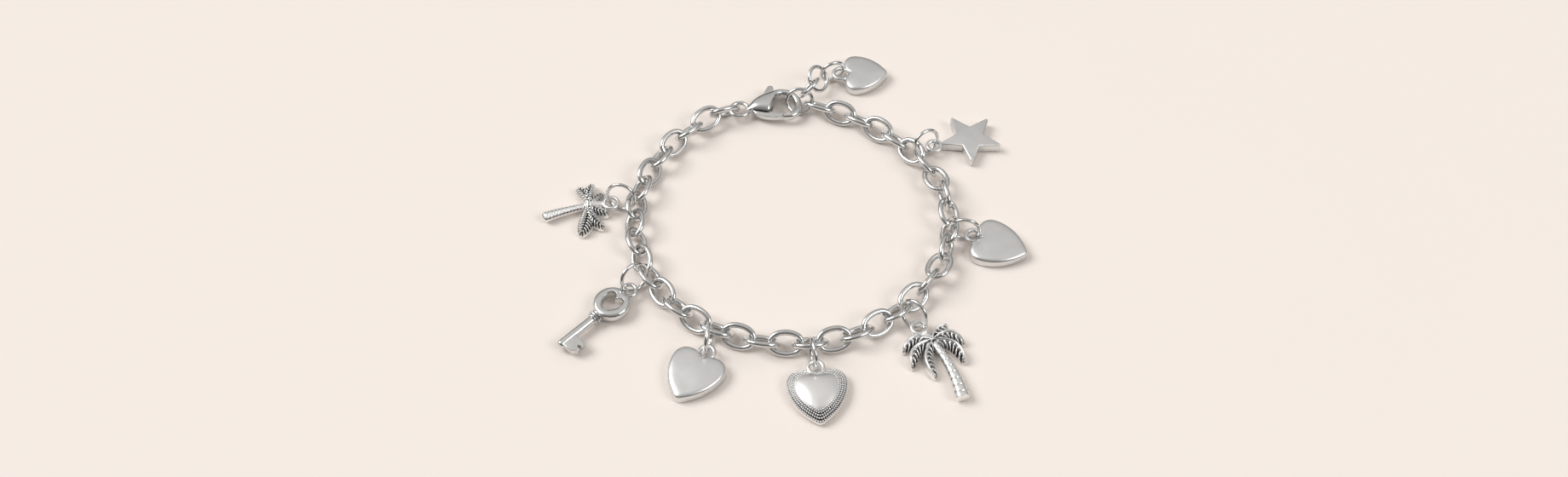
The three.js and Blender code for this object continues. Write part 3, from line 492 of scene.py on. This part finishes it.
def fused(shell, voxel, smoothing):
    """One skin over all of a shell's overlapping bodies."""
    thing = scratch(shell, "fused")
    skin = thing.modifiers.new("skin", "REMESH")
    skin.mode = "VOXEL"
    skin.voxel_size = voxel
    soften = thing.modifiers.new("soften", "SMOOTH")
    soften.factor = 0.5
    soften.iterations = smoothing
    _, faces = evaluated(thing)
    triangles = sum(len(face) - 2 for face in faces)
    thin = thing.modifiers.new("thin", "DECIMATE")
    thin.ratio = min(1.0, MOST_TRIANGLES / triangles)
    result = evaluated(thing)
    bpy.data.meshes.remove(thing.data)
    return result


def piece(name, shell, place, body, node, material, sharp=SHARP_ANGLE):
    """A finished piece of the bracelet that stands for one of its solids."""
    points, faces = shell
    mesh = mesh_of((points, faces), name)
    mesh.transform(Matrix.Scale(MM, 4) @ place)
    mesh.shade_smooth()
    mesh.set_sharp_from_angle(angle=math.radians(sharp))
    mesh.materials.append(material)
    thing = bpy.data.objects.new(name, mesh)
    bpy.context.scene.collection.objects.link(thing)
    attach(thing, body)
    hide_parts(node)
    return thing


def node_points(node):
    mesh = NODES[node].data
    points = np.zeros(len(mesh.vertices) * 3)
    mesh.vertices.foreach_get("co", points)
    return np.unique(np.round(points.reshape(-1, 3) / MM, 4), axis=0)


def placed(origin, x_axis, y_axis):
    """The matrix of a local frame given by its origin and two axes, in millimetres."""
    z_axis = np.cross(x_axis, y_axis)
    rows = np.column_stack([x_axis, y_axis, z_axis, origin])
    return Matrix([list(row) for row in rows] + [[0, 0, 0, 1]])


# Materials


def new_material(name):
    material = bpy.data.materials.new(name)
    material.use_nodes = True
    tree = material.node_tree
    shader = tree.nodes["Principled BSDF"]
    return material, tree, shader


def spaced(tree, scale, detail):
    """Noise in the object's own space, with its scale in features per millimetre."""
    place = tree.nodes.new("ShaderNodeTexCoord")
    sizing = tree.nodes.new("ShaderNodeMapping")
    sizing.inputs["Scale"].default_value = (1 / MM, 1 / MM, 1 / MM)
    noise = tree.nodes.new("ShaderNodeTexNoise")
    noise.inputs["Scale"].default_value = scale
    noise.inputs["Detail"].default_value = detail
    tree.links.new(place.outputs["Object"], sizing.inputs["Vector"])
    tree.links.new(sizing.outputs["Vector"], noise.inputs["Vector"])
    return noise.outputs["Fac"]


def ranged(tree, value, low, high):
    node = tree.nodes.new("ShaderNodeMapRange")
    node.inputs["From Min"].default_value = CLOUD_RANGE[0]
    node.inputs["From Max"].default_value = CLOUD_RANGE[1]
    node.inputs["To Min"].default_value = low
    node.inputs["To Max"].default_value = high
    tree.links.new(value, node.inputs["Value"])
    return node.outputs["Result"]


def bumped(tree, shader, value, height, strength):
    bump = tree.nodes.new("ShaderNodeBump")
    bump.inputs["Strength"].default_value = strength
    bump.inputs["Distance"].default_value = height * MM
    tree.links.new(value, bump.inputs["Height"])
    tree.links.new(bump.outputs["Normal"], shader.inputs["Normal"])


def tinted(tree, value, dark, light):
    mix = tree.nodes.new("ShaderNodeMix")
    mix.data_type = "RGBA"
    mix.inputs["A"].default_value = (*dark, 1)
    mix.inputs["B"].default_value = (*light, 1)
    tree.links.new(value, mix.inputs["Factor"])
    return mix.outputs["Result"]


def silver(name, form):
    """Bright metal with a faint cloud in its tone and roughness and a fine grain."""
    material, tree, shader = new_material(name)
    shader.inputs["Metallic"].default_value = 1.0
    cloud = spaced(tree, form["cloud"], 3)
    tone = tinted(tree, cloud, form["dark"], form["light"])
    tree.links.new(tone, shader.inputs["Base Color"])
    tree.links.new(ranged(tree, cloud, *form["rough"]), shader.inputs["Roughness"])
    bumped(tree, shader, spaced(tree, form["grain"], 4), form["grain_height"], form["bump"])
    return material


def oxidised_silver(name, form):
    """Metal that turns black and dull by the tarnish stored at each point."""
    material, tree, shader = new_material(name)
    shader.inputs["Metallic"].default_value = 1.0
    depth = tree.nodes.new("ShaderNodeAttribute")
    depth.attribute_name = "tarnish"
    tone = tinted(tree, depth.outputs["Fac"], form["bright"], form["black"])
    tree.links.new(tone, shader.inputs["Base Color"])
    rough = tree.nodes.new("ShaderNodeMapRange")
    rough.inputs["To Min"].default_value = form["rough"][0]
    rough.inputs["To Max"].default_value = form["rough"][1]
    tree.links.new(depth.outputs["Fac"], rough.inputs["Value"])
    tree.links.new(rough.outputs["Result"], shader.inputs["Roughness"])
    bumped(tree, shader, spaced(tree, form["grain"], 4), form["grain_height"], form["bump"])
    return material


def cream_floor():
    material, tree, shader = new_material("cream_floor")
    cloud = spaced(tree, 0.02, 2)
    tone = tinted(tree, cloud, *FLOOR_TONES)
    tree.links.new(tone, shader.inputs["Base Color"])
    shader.inputs["Roughness"].default_value = 0.7
    shader.inputs["Specular IOR Level"].default_value = 0.2
    return material


def mesh_vectors(thing, kind):
    vectors = np.zeros(len(thing.data.vertices) * 3)
    thing.data.vertices.foreach_get(kind, vectors)
    return vectors.reshape(-1, 3)


def local_points(thing, place):
    """A piece's points in its own frame, in millimetres."""
    back = place.inverted()
    return np.array([back @ Vector(point) for point in mesh_vectors(thing, "co") / MM])


def with_tarnish(thing, amounts):
    layer = thing.data.attributes.new("tarnish", "FLOAT", "POINT")
    layer.data.foreach_set("value", np.asarray(amounts, np.float32))


def smoothstep(low, high, value):
    t = np.clip((value - low) / (high - low), 0, 1)
    return t * t * (3 - 2 * t)


# Chain and rings


def plane_of(points):
    """Centre and axes of a ring of points: long, wide and normal."""
    centre = points.mean(axis=0)
    _, axes = np.linalg.eigh(np.cov((points - centre).T))
    return centre, axes[:, 2], axes[:, 1]


def wire_loop(half_long, half_wide, wire, roundness):
    """A round wire along an oval in its own plane."""
    sections = []
    power = 2 / roundness
    for i in range(WIRE_STEPS):
        turn = 2 * math.pi * i / WIRE_STEPS
        c, s = math.cos(turn), math.sin(turn)
        place = np.array([
            half_long * math.copysign(abs(c) ** power, c),
            half_wide * math.copysign(abs(s) ** power, s),
            0,
        ])
        slope = 2 - power
        out = np.array([
            math.copysign(abs(c) ** slope, c) / half_long,
            math.copysign(abs(s) ** slope, s) / half_wide,
            0,
        ])
        out /= np.linalg.norm(out)
        section = []
        for j in range(WIRE_SIDES):
            around = 2 * math.pi * j / WIRE_SIDES
            offset = out * math.cos(around) + np.array([0, 0, math.sin(around)])
            section.append(place + wire / 2 * offset)
        sections.append(section)
    return loft(sections, loop=True)


def build_link(node, material):
    points = node_points(node)
    centre, long_axis, wide_axis = plane_of(points)
    half_long = np.abs((points - centre) @ long_axis).max() - LINK_WIRE / 2
    half_wide = np.abs((points - centre) @ wide_axis).max() - LINK_WIRE / 2
    shell = wire_loop(half_long, half_wide, LINK_WIRE, LINK_ROUNDNESS)
    place = placed(centre, long_axis, wide_axis)
    piece("oval_" + node, shell, place, "bracelet", node, material)


def build_ring(node, wire, material):
    points = node_points(node)
    centre, long_axis, wide_axis = plane_of(points)
    radius = np.linalg.norm(points - centre, axis=1).max() - wire / 2
    shell = wire_loop(radius, radius, wire, 2)
    place = placed(centre, long_axis, wide_axis)
    piece("round_" + node, shell, place, "bracelet", node, material)


# Clasp


def clasp_point(x, y):
    return np.array([x * CLASP_REACH, y * CLASP_WIDTH])


def on_arc(radius, y_share):
    pivot = clasp_point(*PIVOT)
    y = y_share * CLASP_WIDTH
    return np.array([pivot[0] + math.sqrt(radius ** 2 - (y - pivot[1]) ** 2), y])


def clasp_frame():
    """The clasp's own frame: its eye's centre at the origin and the hook towards +X."""
    joint = frame["joints"][0]
    pivot = np.array(joint["pos_m"][:2]) / MM
    points = node_points("clasp_body")[:, :2]
    farthest = points[np.argmax(np.linalg.norm(points - pivot, axis=1) * (points[:, 0] < pivot[0]))]
    local_pivot = clasp_point(*PIVOT)
    local_end = np.array([-CLASP_EYE_OUTER / 2, 0.0])
    seen = math.atan2(*(pivot - farthest)[::-1])
    own = math.atan2(*(local_pivot - local_end)[::-1])
    along = heading(math.degrees(seen - own))
    left = np.array([-along[1], along[0], 0.0])
    origin = np.array([*pivot, 0.0]) - along * local_pivot[0] - left * local_pivot[1]
    return placed(origin, along, left)


def clasp_body():
    middle = CLASP_THICKNESS / 2
    rows = [
        [*clasp_point(ox, oy), *clasp_point(ix, iy), thick]
        for ox, oy, ix, iy, thick in CLASP_SECTIONS
    ]
    tip = GATE_REACH + GATE_SEAM
    rows.append([*on_arc(tip, HOOK_TIP["outer"]), *on_arc(tip, HOOK_TIP["inner"]), HOOK_TIP["thick"]])
    sections = []
    for ox, oy, ix, iy, thick in catmull(rows, CLASP_STEPS):
        out, inner = np.array([ox, oy]), np.array([ix, iy])
        section = []
        for j in range(CLASP_SIDES):
            turn = 2 * math.pi * j / CLASP_SIDES
            across = math.copysign(abs(math.cos(turn)) ** CLASP_FULLNESS, math.cos(turn))
            rise = math.copysign(abs(math.sin(turn)) ** CLASP_FULLNESS, math.sin(turn))
            place = (out + inner) / 2 + (out - inner) / 2 * across
            section.append([*place, middle + rise * thick * CLASP_THICKNESS / 2])
        sections.append(section)
    slot_half = LEVER_THICKNESS / 2 + LEVER_SIDE_GAP
    slot = prism(
        [clasp_point(x, y) for x, y in SLOT],
        [(0, middle - slot_half), (0, middle + slot_half)],
    )
    shell = carved(loft(sections), [slot], "DIFFERENCE")
    pivot = clasp_point(*PIVOT)
    pin_half = slot_half + PIN_SEAT
    pin = prism(circle(pivot, PIN_DIAMETER / 2), [(0, middle - pin_half), (0, middle + pin_half)])
    eye = ring(CLASP_EYE_OUTER, CLASP_EYE_WIRE, middle)
    return carved(shell, [eye, pin], "UNION")


def clasp_lever():
    middle = CLASP_THICKNESS / 2
    pivot = clasp_point(*PIVOT)
    tab = clasp_point(TAB["x"], TAB["y"])
    arm = math.degrees(math.atan2(*(tab - pivot)[::-1]))
    rim = [tab + TAB["radius"] * CLASP_WIDTH * heading(arm + 90 - 15 * i)[:2] for i in range(13)]
    bottom = [on_arc(GATE_REACH, GATE_END["bottom"])] + [clasp_point(x, y) for x, y in LEVER_BOTTOM]
    top = [clasp_point(x, y) for x, y in LEVER_TOP] + [on_arc(GATE_REACH, GATE_END["top"])]
    outline = np.vstack([
        catmull(bottom + [rim[0]], LEVER_STEPS),
        rim[1:-1],
        catmull([rim[-1]] + top, LEVER_STEPS),
    ])
    half = LEVER_THICKNESS / 2
    plate = prism(outline, rounded_levels(middle - half, middle + half, LEVER_EDGE, 3))
    bore = prism(circle(pivot, PIN_DIAMETER / 2 + PIN_CLEARANCE), [(0, 0), (0, CLASP_THICKNESS)])
    return carved(plate, [bore], "DIFFERENCE")


# Charms. In a charm's frame its eye's centre is over the origin and it hangs towards +X.


def charm_frame(name, eye_outer):
    turn = CHARM_TURN[name]
    along = heading(turn)
    left = heading(turn + 90)
    points = node_points("charm_" + name)
    x, y = points @ along, points @ left
    end = x.min()
    origin = along * (end + eye_outer / 2) + left * y[x < end + 0.01].mean()
    return placed(origin, along, left)


def heart_outline(shape, width, length, start):
    def at(row, side):
        return np.array([start + row[0] * length, side * row[1] * width])

    spans, end = [], shape["notch"]
    for rows in shape["spans"]:
        spans.append([end, *rows])
        end = rows[-1]
    half = [bezier(*(at(row, 1) for row in span), HEART_STEPS) for span in spans]
    back = [bezier(*(at(row, -1) for row in span[::-1]), HEART_STEPS) for span in spans[::-1]]
    return np.vstack(half + back)


def heart_start(length, eye_outer, eye_wire):
    return eye_outer / 2 - eye_wire / 2 - HEART_SHAPE["notch"][0] * length


def heart_body(size, levels, start):
    """Stacked outlines that turn from a heart at the rim to an oval at the crown."""
    width, length, thick = size["width"], size["length"], size["thick"]
    outline = heart_outline(HEART_SHAPE, width, length, start)
    centre = np.array([start + HEART_CENTRE * length, 0])
    angle = np.arctan2(*(outline - centre).T[::-1])
    oval = centre + CROWN_OVAL * np.column_stack([length * np.cos(angle), width * np.sin(angle)])
    sections = []
    for scale, height in levels:
        blend = smoothstep(*CROWN_BLEND, scale)
        edge = outline * (1 - blend) + oval * blend
        edge = centre + (edge - centre) * scale
        sections.append(np.column_stack([edge, np.full(len(edge), height * thick)]))
    points, faces = loft(sections)
    points[-1][2] = thick
    return points, faces


def plain_heart(size, eye_outer, eye_wire):
    start = heart_start(size["length"], eye_outer, eye_wire)
    body = heart_body(size, HEART_LEVELS, start)
    return carved(body, [ring(eye_outer, eye_wire, EYE_HEIGHT)], "UNION")


def border_profile():
    """The beaded heart's outline scales, rising, and their heights above its wall."""
    scales, heights = zip(*[row for row in BEADED_LEVELS[::-1] if row[1] > BORDER_FLOOR])
    return np.array(scales), np.array(heights)


def beads(start):
    """Beads in rows, evenly spaced round the heart and sunk in its border."""
    size = BEADED_HEART
    outline = heart_outline(HEART_SHAPE, size["width"], size["length"], start)
    centre = np.array([start + HEART_CENTRE * size["length"], 0])
    scales, heights = border_profile()
    shells = []
    for row, (scale, radius, sunk) in enumerate(BEAD_ROWS):
        edge = centre + (outline - centre) * scale
        closed = np.vstack([edge, edge[:1]])
        steps = np.linalg.norm(np.diff(closed, axis=0), axis=1)
        travel = np.concatenate([[0], np.cumsum(steps)])
        count = round(travel[-1] / BEAD_PITCH)
        spots = (np.arange(count) + 0.5 * (row % 2)) / count * travel[-1]
        height = np.interp(scale, scales, heights) * size["thick"] - sunk * radius
        for spot in spots:
            x, y = (np.interp(spot, travel, closed[:, axis]) for axis in (0, 1))
            shells.append(ball((x, y, height), radius))
    return shells


def beaded_heart():
    start = heart_start(BEADED_HEART["length"], EYE_OUTER, EYE_WIRE)
    body = heart_body(BEADED_HEART, BEADED_LEVELS, start)
    body = carved(body, [ring(EYE_OUTER, EYE_WIRE, EYE_HEIGHT)], "UNION")
    return joined(body, *beads(start)), len(body[0])


def border_tarnish(thing, place, body_count):
    """Dark between the beads, most towards the tip; the beads and the dome stay bright."""
    local = local_points(thing, place)
    size = BEADED_HEART
    centre = heart_start(size["length"], EYE_OUTER, EYE_WIRE) + HEART_CENTRE * size["length"]
    level = local[:, 2] / size["thick"]
    scales, heights = border_profile()
    scale = np.interp(level, heights[::-1], scales[::-1])
    band = smoothstep(*BEAD_BAND, scale) * (level > BORDER_WALL)
    towards_tip = smoothstep(*BORDER_REACH, (local[:, 0] - centre) / size["length"])
    dark = band * (BORDER_DARK[0] + BORDER_DARK[1] * towards_tip)
    dark[body_count:] *= BEAD_DARK
    dark[np.linalg.norm(local[:, :2], axis=1) < EYE_OUTER / 2] = 0
    with_tarnish(thing, dark)


def star():
    centre = EYE_OUTER / 2 - STAR_SINK + STAR_RADIUS
    outline = []
    for i in range(5):
        tip = 180 + 72 * i
        for turn, share in STAR_ARM:
            outline.append(heading(tip + turn)[:2] * share * STAR_RADIUS + [centre, 0])
    body = prism(outline, rounded_levels(0, STAR_THICK, STAR_EDGE, 5))
    return carved(body, [ring(EYE_OUTER, EYE_WIRE, EYE_HEIGHT)], "UNION")


def key_profile(bow_end):
    """The shaft's profile from inside the bow, over the collars, to its rounded end."""
    radius = KEY_SHAFT / 2
    profile = [(bow_end - radius, radius * 0.9)]
    for place, top in KEY_COLLARS:
        x, half, crown = bow_end + place * KEY_SHAFT, COLLAR_HALF * KEY_SHAFT, top * KEY_SHAFT
        profile.append((x - half, radius))
        for turn in COLLAR_TURNS:
            rise = math.sin(math.radians(turn)) ** 0.5
            profile.append((x - half * math.cos(math.radians(turn)), radius + (crown - radius) * rise))
        profile.append((x + half, radius))
    for turn in KEY_TIP_TURNS:
        away = math.radians(turn)
        back = KEY_TIP_BACK * radius * (1 - math.sin(away))
        share = KEY_TIP_FLAT + (1 - KEY_TIP_FLAT) * math.cos(away)
        profile.append((KEY_LENGTH - back, radius * share))
    return profile


def key():
    bow_start = EYE_OUTER / 2 - KEY_BOW_SINK
    bow_end = bow_start + KEY_BOW_OUTER
    centre = np.array([(bow_start + bow_end) / 2, 0])
    tallest = max(radius for _, radius in KEY_COLLARS) * KEY_SHAFT
    bottom = tallest - KEY_THICK / 2
    hole = heart_outline(
        HOLE_SHAPE,
        KEY_HOLE["width"] * KEY_BOW_OUTER,
        KEY_HOLE["length"] * KEY_BOW_OUTER,
        bow_start + KEY_HOLE["start"] * KEY_BOW_OUTER,
    )
    angle = np.arctan2(*(hole - centre).T[::-1])
    rim = centre + KEY_BOW_OUTER / 2 * np.column_stack([np.cos(angle), np.sin(angle)])
    sections = []
    for near, far in zip(hole, rim):
        sections.append([
            [*(near + (far - near) * share), bottom + height * KEY_THICK]
            for share, height in BOW_SECTION
        ])
    bow = loft(sections, loop=True)
    shaft = lathe(key_profile(bow_end), tallest)
    bit_start = KEY_LENGTH - KEY_BIT_INSET - KEY_BIT_LENGTH
    outline = [(bit_start + x * KEY_BIT_LENGTH, y * KEY_BIT_REACH) for x, y in KEY_BIT]
    half = KEY_BIT_THICK / 2
    bit = prism(outline, rounded_levels(tallest - half, tallest + half, KEY_BIT_EDGE, 3))
    return carved(bow, [ring(EYE_OUTER, EYE_WIRE, EYE_HEIGHT), shaft, bit], "UNION")


# Palms


def bent_line(crown, turn, reach, bend):
    """A function that gives the place and direction at a share of a bent line."""
    tip = crown + reach * heading(turn)
    control = (crown + tip) / 2 + 2 * bend * heading(turn + 90)

    def at(share):
        place = (1 - share) ** 2 * crown + 2 * (1 - share) * share * control + share ** 2 * tip
        slope = 2 * (1 - share) * (control - crown) + 2 * share * (tip - control)
        slope /= np.linalg.norm(slope)
        return place, slope, np.array([-slope[1], slope[0], 0.0])

    return at


def cushion(place, left, low, high, bottom, top):
    """A section across a strip, from one edge to the other, with a rounded back."""
    rows = [(0.0, 0.0), (0.0, 0.55), (0.08, 0.82), (0.25, 0.96), (0.5, 1.0),
            (0.75, 0.96), (0.92, 0.82), (1.0, 0.55), (1.0, 0.0)]
    section = []
    for across, rise in rows:
        point = place + left * (low + (high - low) * across)
        section.append([point[0], point[1], bottom + (top - bottom) * rise])
    return section


def frond_width(share, widest):
    """A frond's width as a share of its greatest: it swells, then rounds off at the tip."""
    if share < widest:
        swell = math.sin(math.pi / 2 * share / widest)
        return FROND_START_WIDTH + (1 - FROND_START_WIDTH) * swell
    return math.sqrt(1 - ((share - widest) / (1 - widest)) ** 2)


def leaflet_groove(share, across, count, lean):
    """How deep into a groove between leaflets a place lies, from 0 to 1."""
    phase = (share * count - lean * abs(across)) % 1.0
    return 1 - smoothstep(*GROOVE_EDGE, min(phase, 1 - phase))


def frond(crown, row, size, leaflets, offset, height_at):
    """A frond's skin. Its height is given at a share of its length and of its half width."""
    turn, length, bend, width = row
    reach, thick = size["reach"], size["thick"]
    line = bent_line(crown, turn, length * reach, bend * reach)
    bowed = math.copysign(1, bend)
    count = round(length * reach / leaflets["pitch"])
    sections = []
    for share in np.linspace(0, FROND_END, FROND_SECTIONS):
        place, _, left = line(share)
        half = width * reach / 2 * frond_width(share, leaflets["widest"])
        notch = leaflet_groove(share, 1, count, leaflets["lean"])
        tip = math.sqrt(1 - share ** FROND_DROP)
        section = []
        for around in np.linspace(0, math.pi, FROND_POINTS):
            across = math.cos(around)
            groove = leaflet_groove(share, across, count, leaflets["lean"])
            out = (across - offset) * (1 - FROND_NOTCH * notch * abs(across))
            point = place - left * bowed * out * half
            section.append([point[0], point[1], thick * tip * height_at(across, groove)])
        for across in (-FROND_BACK["half"], FROND_BACK["half"]):
            point = place - left * bowed * (across - offset) * half
            section.append([point[0], point[1], FROND_BACK["height"] * thick])
        sections.append(section)
    return loft(sections)


def crescent_height(across, groove):
    """A broad smooth rib along the bowed side and grooved leaflets along the other."""
    rib = 0.88 * math.sqrt(max(0.0, 1 - ((across + 0.5) / 0.5) ** 2))
    leaf = math.sqrt(max(0.0, 1 - across ** 4)) * (0.76 - 0.42 * groove)
    return 0.1 + max(rib, leaf if across > -0.4 else 0.0)


def feather_height(across, groove):
    """Leaflets on both sides of a sunk midrib."""
    midrib = 1 - smoothstep(0.03, 0.13, abs(across))
    return 0.1 + math.sqrt(max(0.0, 1 - across ** 4)) * (0.86 - 0.28 * max(groove, midrib))


def trunk_half(form, size, share):
    return (form["slim"] + (1 - form["slim"]) * share) * size["trunk"] / 2


def groove_at(form, share, across):
    """How deep into a groove a place on the trunk lies, from 0 to 1."""
    bow = form["curl"] * (1 - across ** 2) + form["slant"] * across
    phase = (share * form["bands"] - bow) % 1.0
    away = np.minimum(phase, 1 - phase)
    return 1 - smoothstep(0.35 * form["groove"], form["groove"], away)


def trunk(crown, form, size):
    """A full round stem ringed by grooves that bow towards the foot or slant like rope."""
    reach, thick = size["reach"], size["thick"]
    line = bent_line(crown, form["heading"], reach, form["bend"] * reach)
    sections = []
    for share in np.linspace(0, 1, form["bands"] * BAND_SECTIONS + 1):
        place, _, left = line(share)
        half = trunk_half(form, size, share)
        tall = thick * (TRUNK_RISE[0] + TRUNK_RISE[1] * share)
        past = max(0.0, share - form["end"]) / (1 - form["end"])
        round_off = math.sqrt(1.02 - past ** 2)
        section = []
        for j in range(TRUNK_SIDES):
            turn = 2 * math.pi * j / TRUNK_SIDES
            c, s = math.cos(turn), math.sin(turn)
            across = math.copysign(abs(c) ** TRUNK_FULLNESS, c)
            rise = math.copysign(abs(s) ** TRUNK_FULLNESS, s)
            sunk = form["depth"] * groove_at(form, share, across) * (0.35 + 0.65 * max(0.0, s))
            point = place + left * across * (half - 0.6 * sunk) * round_off
            height = TRUNK_FLOOR * thick + tall + rise * (tall - sunk) * round_off
            section.append([point[0], point[1], height])
        sections.append(section)
    return [loft(sections)]


def palm(size, fronds, form, leaflets, offset, height_at):
    crown = np.array([size["crown"], 0.0, 0.0])
    shells = trunk(crown, form, size)
    for row in fronds:
        shells.append(frond(crown, row, size, leaflets, offset, height_at))
    neck = []
    for x in ((EYE_OUTER - EYE_WIRE) / 2, size["crown"] + EYE_WIRE):
        neck.append(cushion(
            np.array([x, 0, 0]), np.array([0, 1.0, 0]),
            -EYE_WIRE, EYE_WIRE, EYE_HEIGHT - EYE_WIRE, EYE_HEIGHT + EYE_WIRE / 3,
        ))
    shells += [loft(neck), ring(EYE_OUTER, EYE_WIRE, EYE_HEIGHT, 48, 12)]
    return fused(joined(*shells), size["voxel"], 1)


def spread(grid):
    """Sums of each cell's square neighbourhood."""
    for axis in (0, 1):
        grid = sum(np.roll(grid, shift, axis) for shift in range(-HOLLOW_REACH, HOLLOW_REACH + 1))
    return grid


def palm_tarnish(thing, place):
    """Dark where the ground lies below the tops around it; ridges and sides stay bright."""
    up = mesh_vectors(thing, "normal")[:, 2]
    local = local_points(thing, place)
    margin = HOLLOW_REACH + 1
    cells = ((local[:, :2] - local[:, :2].min(axis=0)) / HOLLOW_CELL).astype(int) + margin
    tops = np.zeros(cells.max(axis=0) + margin + 1)
    np.maximum.at(tops, tuple(cells.T), local[:, 2])
    around = spread(tops) / np.maximum(spread((tops > 0).astype(float)), 1)
    depth = around[tuple(cells.T)] - local[:, 2]
    dark = smoothstep(*HOLLOW_DEPTHS, depth) * smoothstep(*HOLLOW_FACING, up)
    near_eye = np.linalg.norm(local[:, :2], axis=1) < EYE_OUTER / 2 + 0.1
    with_tarnish(thing, np.where(near_eye, 0.1 * dark, dark))


# Assembly


def build_chain(material):
    for node in sorted(NODES):
        if node.startswith("link_"):
            build_link(node, material)
        elif node.startswith("jump_ring_"):
            build_ring(node, RING_WIRE["jump"], material)
        elif node.startswith("extender_ring_"):
            build_ring(node, RING_WIRE["extender"], material)
    build_ring("end_ring", RING_WIRE["end"], material)


def build_clasp(material):
    place = clasp_frame()
    for name, shell, body, node in (
        ("lobster_body", clasp_body(), "bracelet", "clasp_body"),
        ("lobster_lever", clasp_lever(), "lever", "clasp_lever"),
    ):
        piece(name, shell, place, body, node, material, CLASP_SHARP_ANGLE)


def build_charm(name, shell, material, eye_outer=EYE_OUTER):
    place = charm_frame(name, eye_outer)
    thing = piece("cast_" + name, shell, place, "bracelet", "charm_" + name, material)
    return thing, place


def build_charms(polished, satin, oxidised):
    build_charm("key", key(), polished)
    build_charm("heart_left", plain_heart(HEART, EYE_OUTER, EYE_WIRE), satin)
    build_charm("heart_right", plain_heart(HEART, EYE_OUTER, EYE_WIRE), satin)
    build_charm("star", star(), satin)
    end_shell = plain_heart(END_HEART, END_EYE_OUTER, END_EYE_WIRE)
    build_charm("heart_end", end_shell, satin, END_EYE_OUTER)
    shell, body_count = beaded_heart()
    thing, place = build_charm("heart_beaded", shell, oxidised)
    border_tarnish(thing, place, body_count)
    large = palm(LARGE_PALM, LARGE_FRONDS, LARGE_TRUNK, LARGE_LEAFLETS, -0.5, crescent_height)
    small = palm(SMALL_PALM, SMALL_FRONDS, SMALL_TRUNK, SMALL_LEAFLETS, 0.0, feather_height)
    for name, shell in (("palm_large", large), ("palm_small", small)):
        thing, place = build_charm(name, shell, oxidised)
        palm_tarnish(thing, place)


# Stage, lights and camera

def build_stage():
    floor = bpy.data.objects.new("floor", bpy.data.meshes.new("floor"))
    half, drop = FLOOR_HALF, -FLOOR_DROP * MM
    corners = [(-half, -half, drop), (half, -half, drop), (half, half, drop), (-half, half, drop)]
    floor.data.from_pydata(corners, [], [(0, 1, 2, 3)])
    floor.data.materials.append(cream_floor())
    bpy.context.scene.collection.objects.link(floor)


def toned_ramp(tree, stops):
    ramp = tree.nodes.new("ShaderNodeValToRGB")
    while len(ramp.color_ramp.elements) < len(stops):
        ramp.color_ramp.elements.new(0.5)
    for element, (place, value) in zip(ramp.color_ramp.elements, stops):
        element.position = place
        element.color = (*(value * share for share in TENT_WARMTH), 1)
    return ramp


def build_world():
    """A white tent that is darker low down, as in a studio with black cards round the table."""
    world = bpy.data.worlds.new("tent")
    bpy.context.scene.world = world
    world.use_nodes = True
    tree = world.node_tree
    place = tree.nodes.new("ShaderNodeTexCoord")
    parts = tree.nodes.new("ShaderNodeSeparateXYZ")
    tree.links.new(place.outputs["Generated"], parts.inputs["Vector"])
    rise = toned_ramp(tree, TENT_BY_HEIGHT)
    tree.links.new(parts.outputs["Z"], rise.inputs["Fac"])
    depth = toned_ramp(tree, TENT_BY_DEPTH)
    shift = tree.nodes.new("ShaderNodeMapRange")
    shift.inputs["From Min"].default_value = -1.0
    tree.links.new(parts.outputs["Y"], shift.inputs["Value"])
    tree.links.new(shift.outputs["Result"], depth.inputs["Fac"])
    mix = tree.nodes.new("ShaderNodeMix")
    mix.data_type = "RGBA"
    mix.blend_type = "MULTIPLY"
    mix.inputs["Factor"].default_value = 1.0
    tree.links.new(rise.outputs["Color"], mix.inputs["A"])
    tree.links.new(depth.outputs["Color"], mix.inputs["B"])
    tree.links.new(mix.outputs["Result"], tree.nodes["Background"].inputs["Color"])
    tree.nodes["Background"].inputs["Strength"].default_value = TENT_STRENGTH


def build_light(name, towards, spread_degrees, strength):
    """A broad even light that shines from a direction, like a large panel far away."""
    data = bpy.data.lights.new(name, "SUN")
    data.angle = math.radians(spread_degrees)
    data.energy = strength
    light = bpy.data.objects.new(name, data)
    light.location = Vector(towards)
    light.rotation_euler = Vector(towards).to_track_quat("Z", "Y").to_euler()
    bpy.context.scene.collection.objects.link(light)


def build_camera():
    data = bpy.data.cameras.new("camera")
    data.sensor_fit = "HORIZONTAL"
    data.sensor_width = SENSOR_WIDTH
    data.lens = CAMERA_LENS
    data.clip_start = 0.01
    camera = bpy.data.objects.new("camera", data)
    rise = math.radians(CAMERA_ELEVATION)
    away = Vector((0, -math.cos(rise), math.sin(rise))) * CAMERA_DISTANCE
    camera.location = (Vector(CAMERA_TARGET) + away) * MM
    camera.rotation_euler = (math.pi / 2 - rise, 0, 0)
    bpy.context.scene.collection.objects.link(camera)
    bpy.context.scene.camera = camera


build_camera()
polished = silver("polished_silver", POLISHED)
satin = silver("satin_silver", SATIN)
oxidised = oxidised_silver("oxidised_silver", OXIDISED)
build_chain(polished)
build_clasp(polished)
build_charms(polished, satin, oxidised)
build_stage()
build_world()
for light in LIGHTS:
    build_light(*light)
bpy.context.scene.view_settings.view_transform = "Standard"
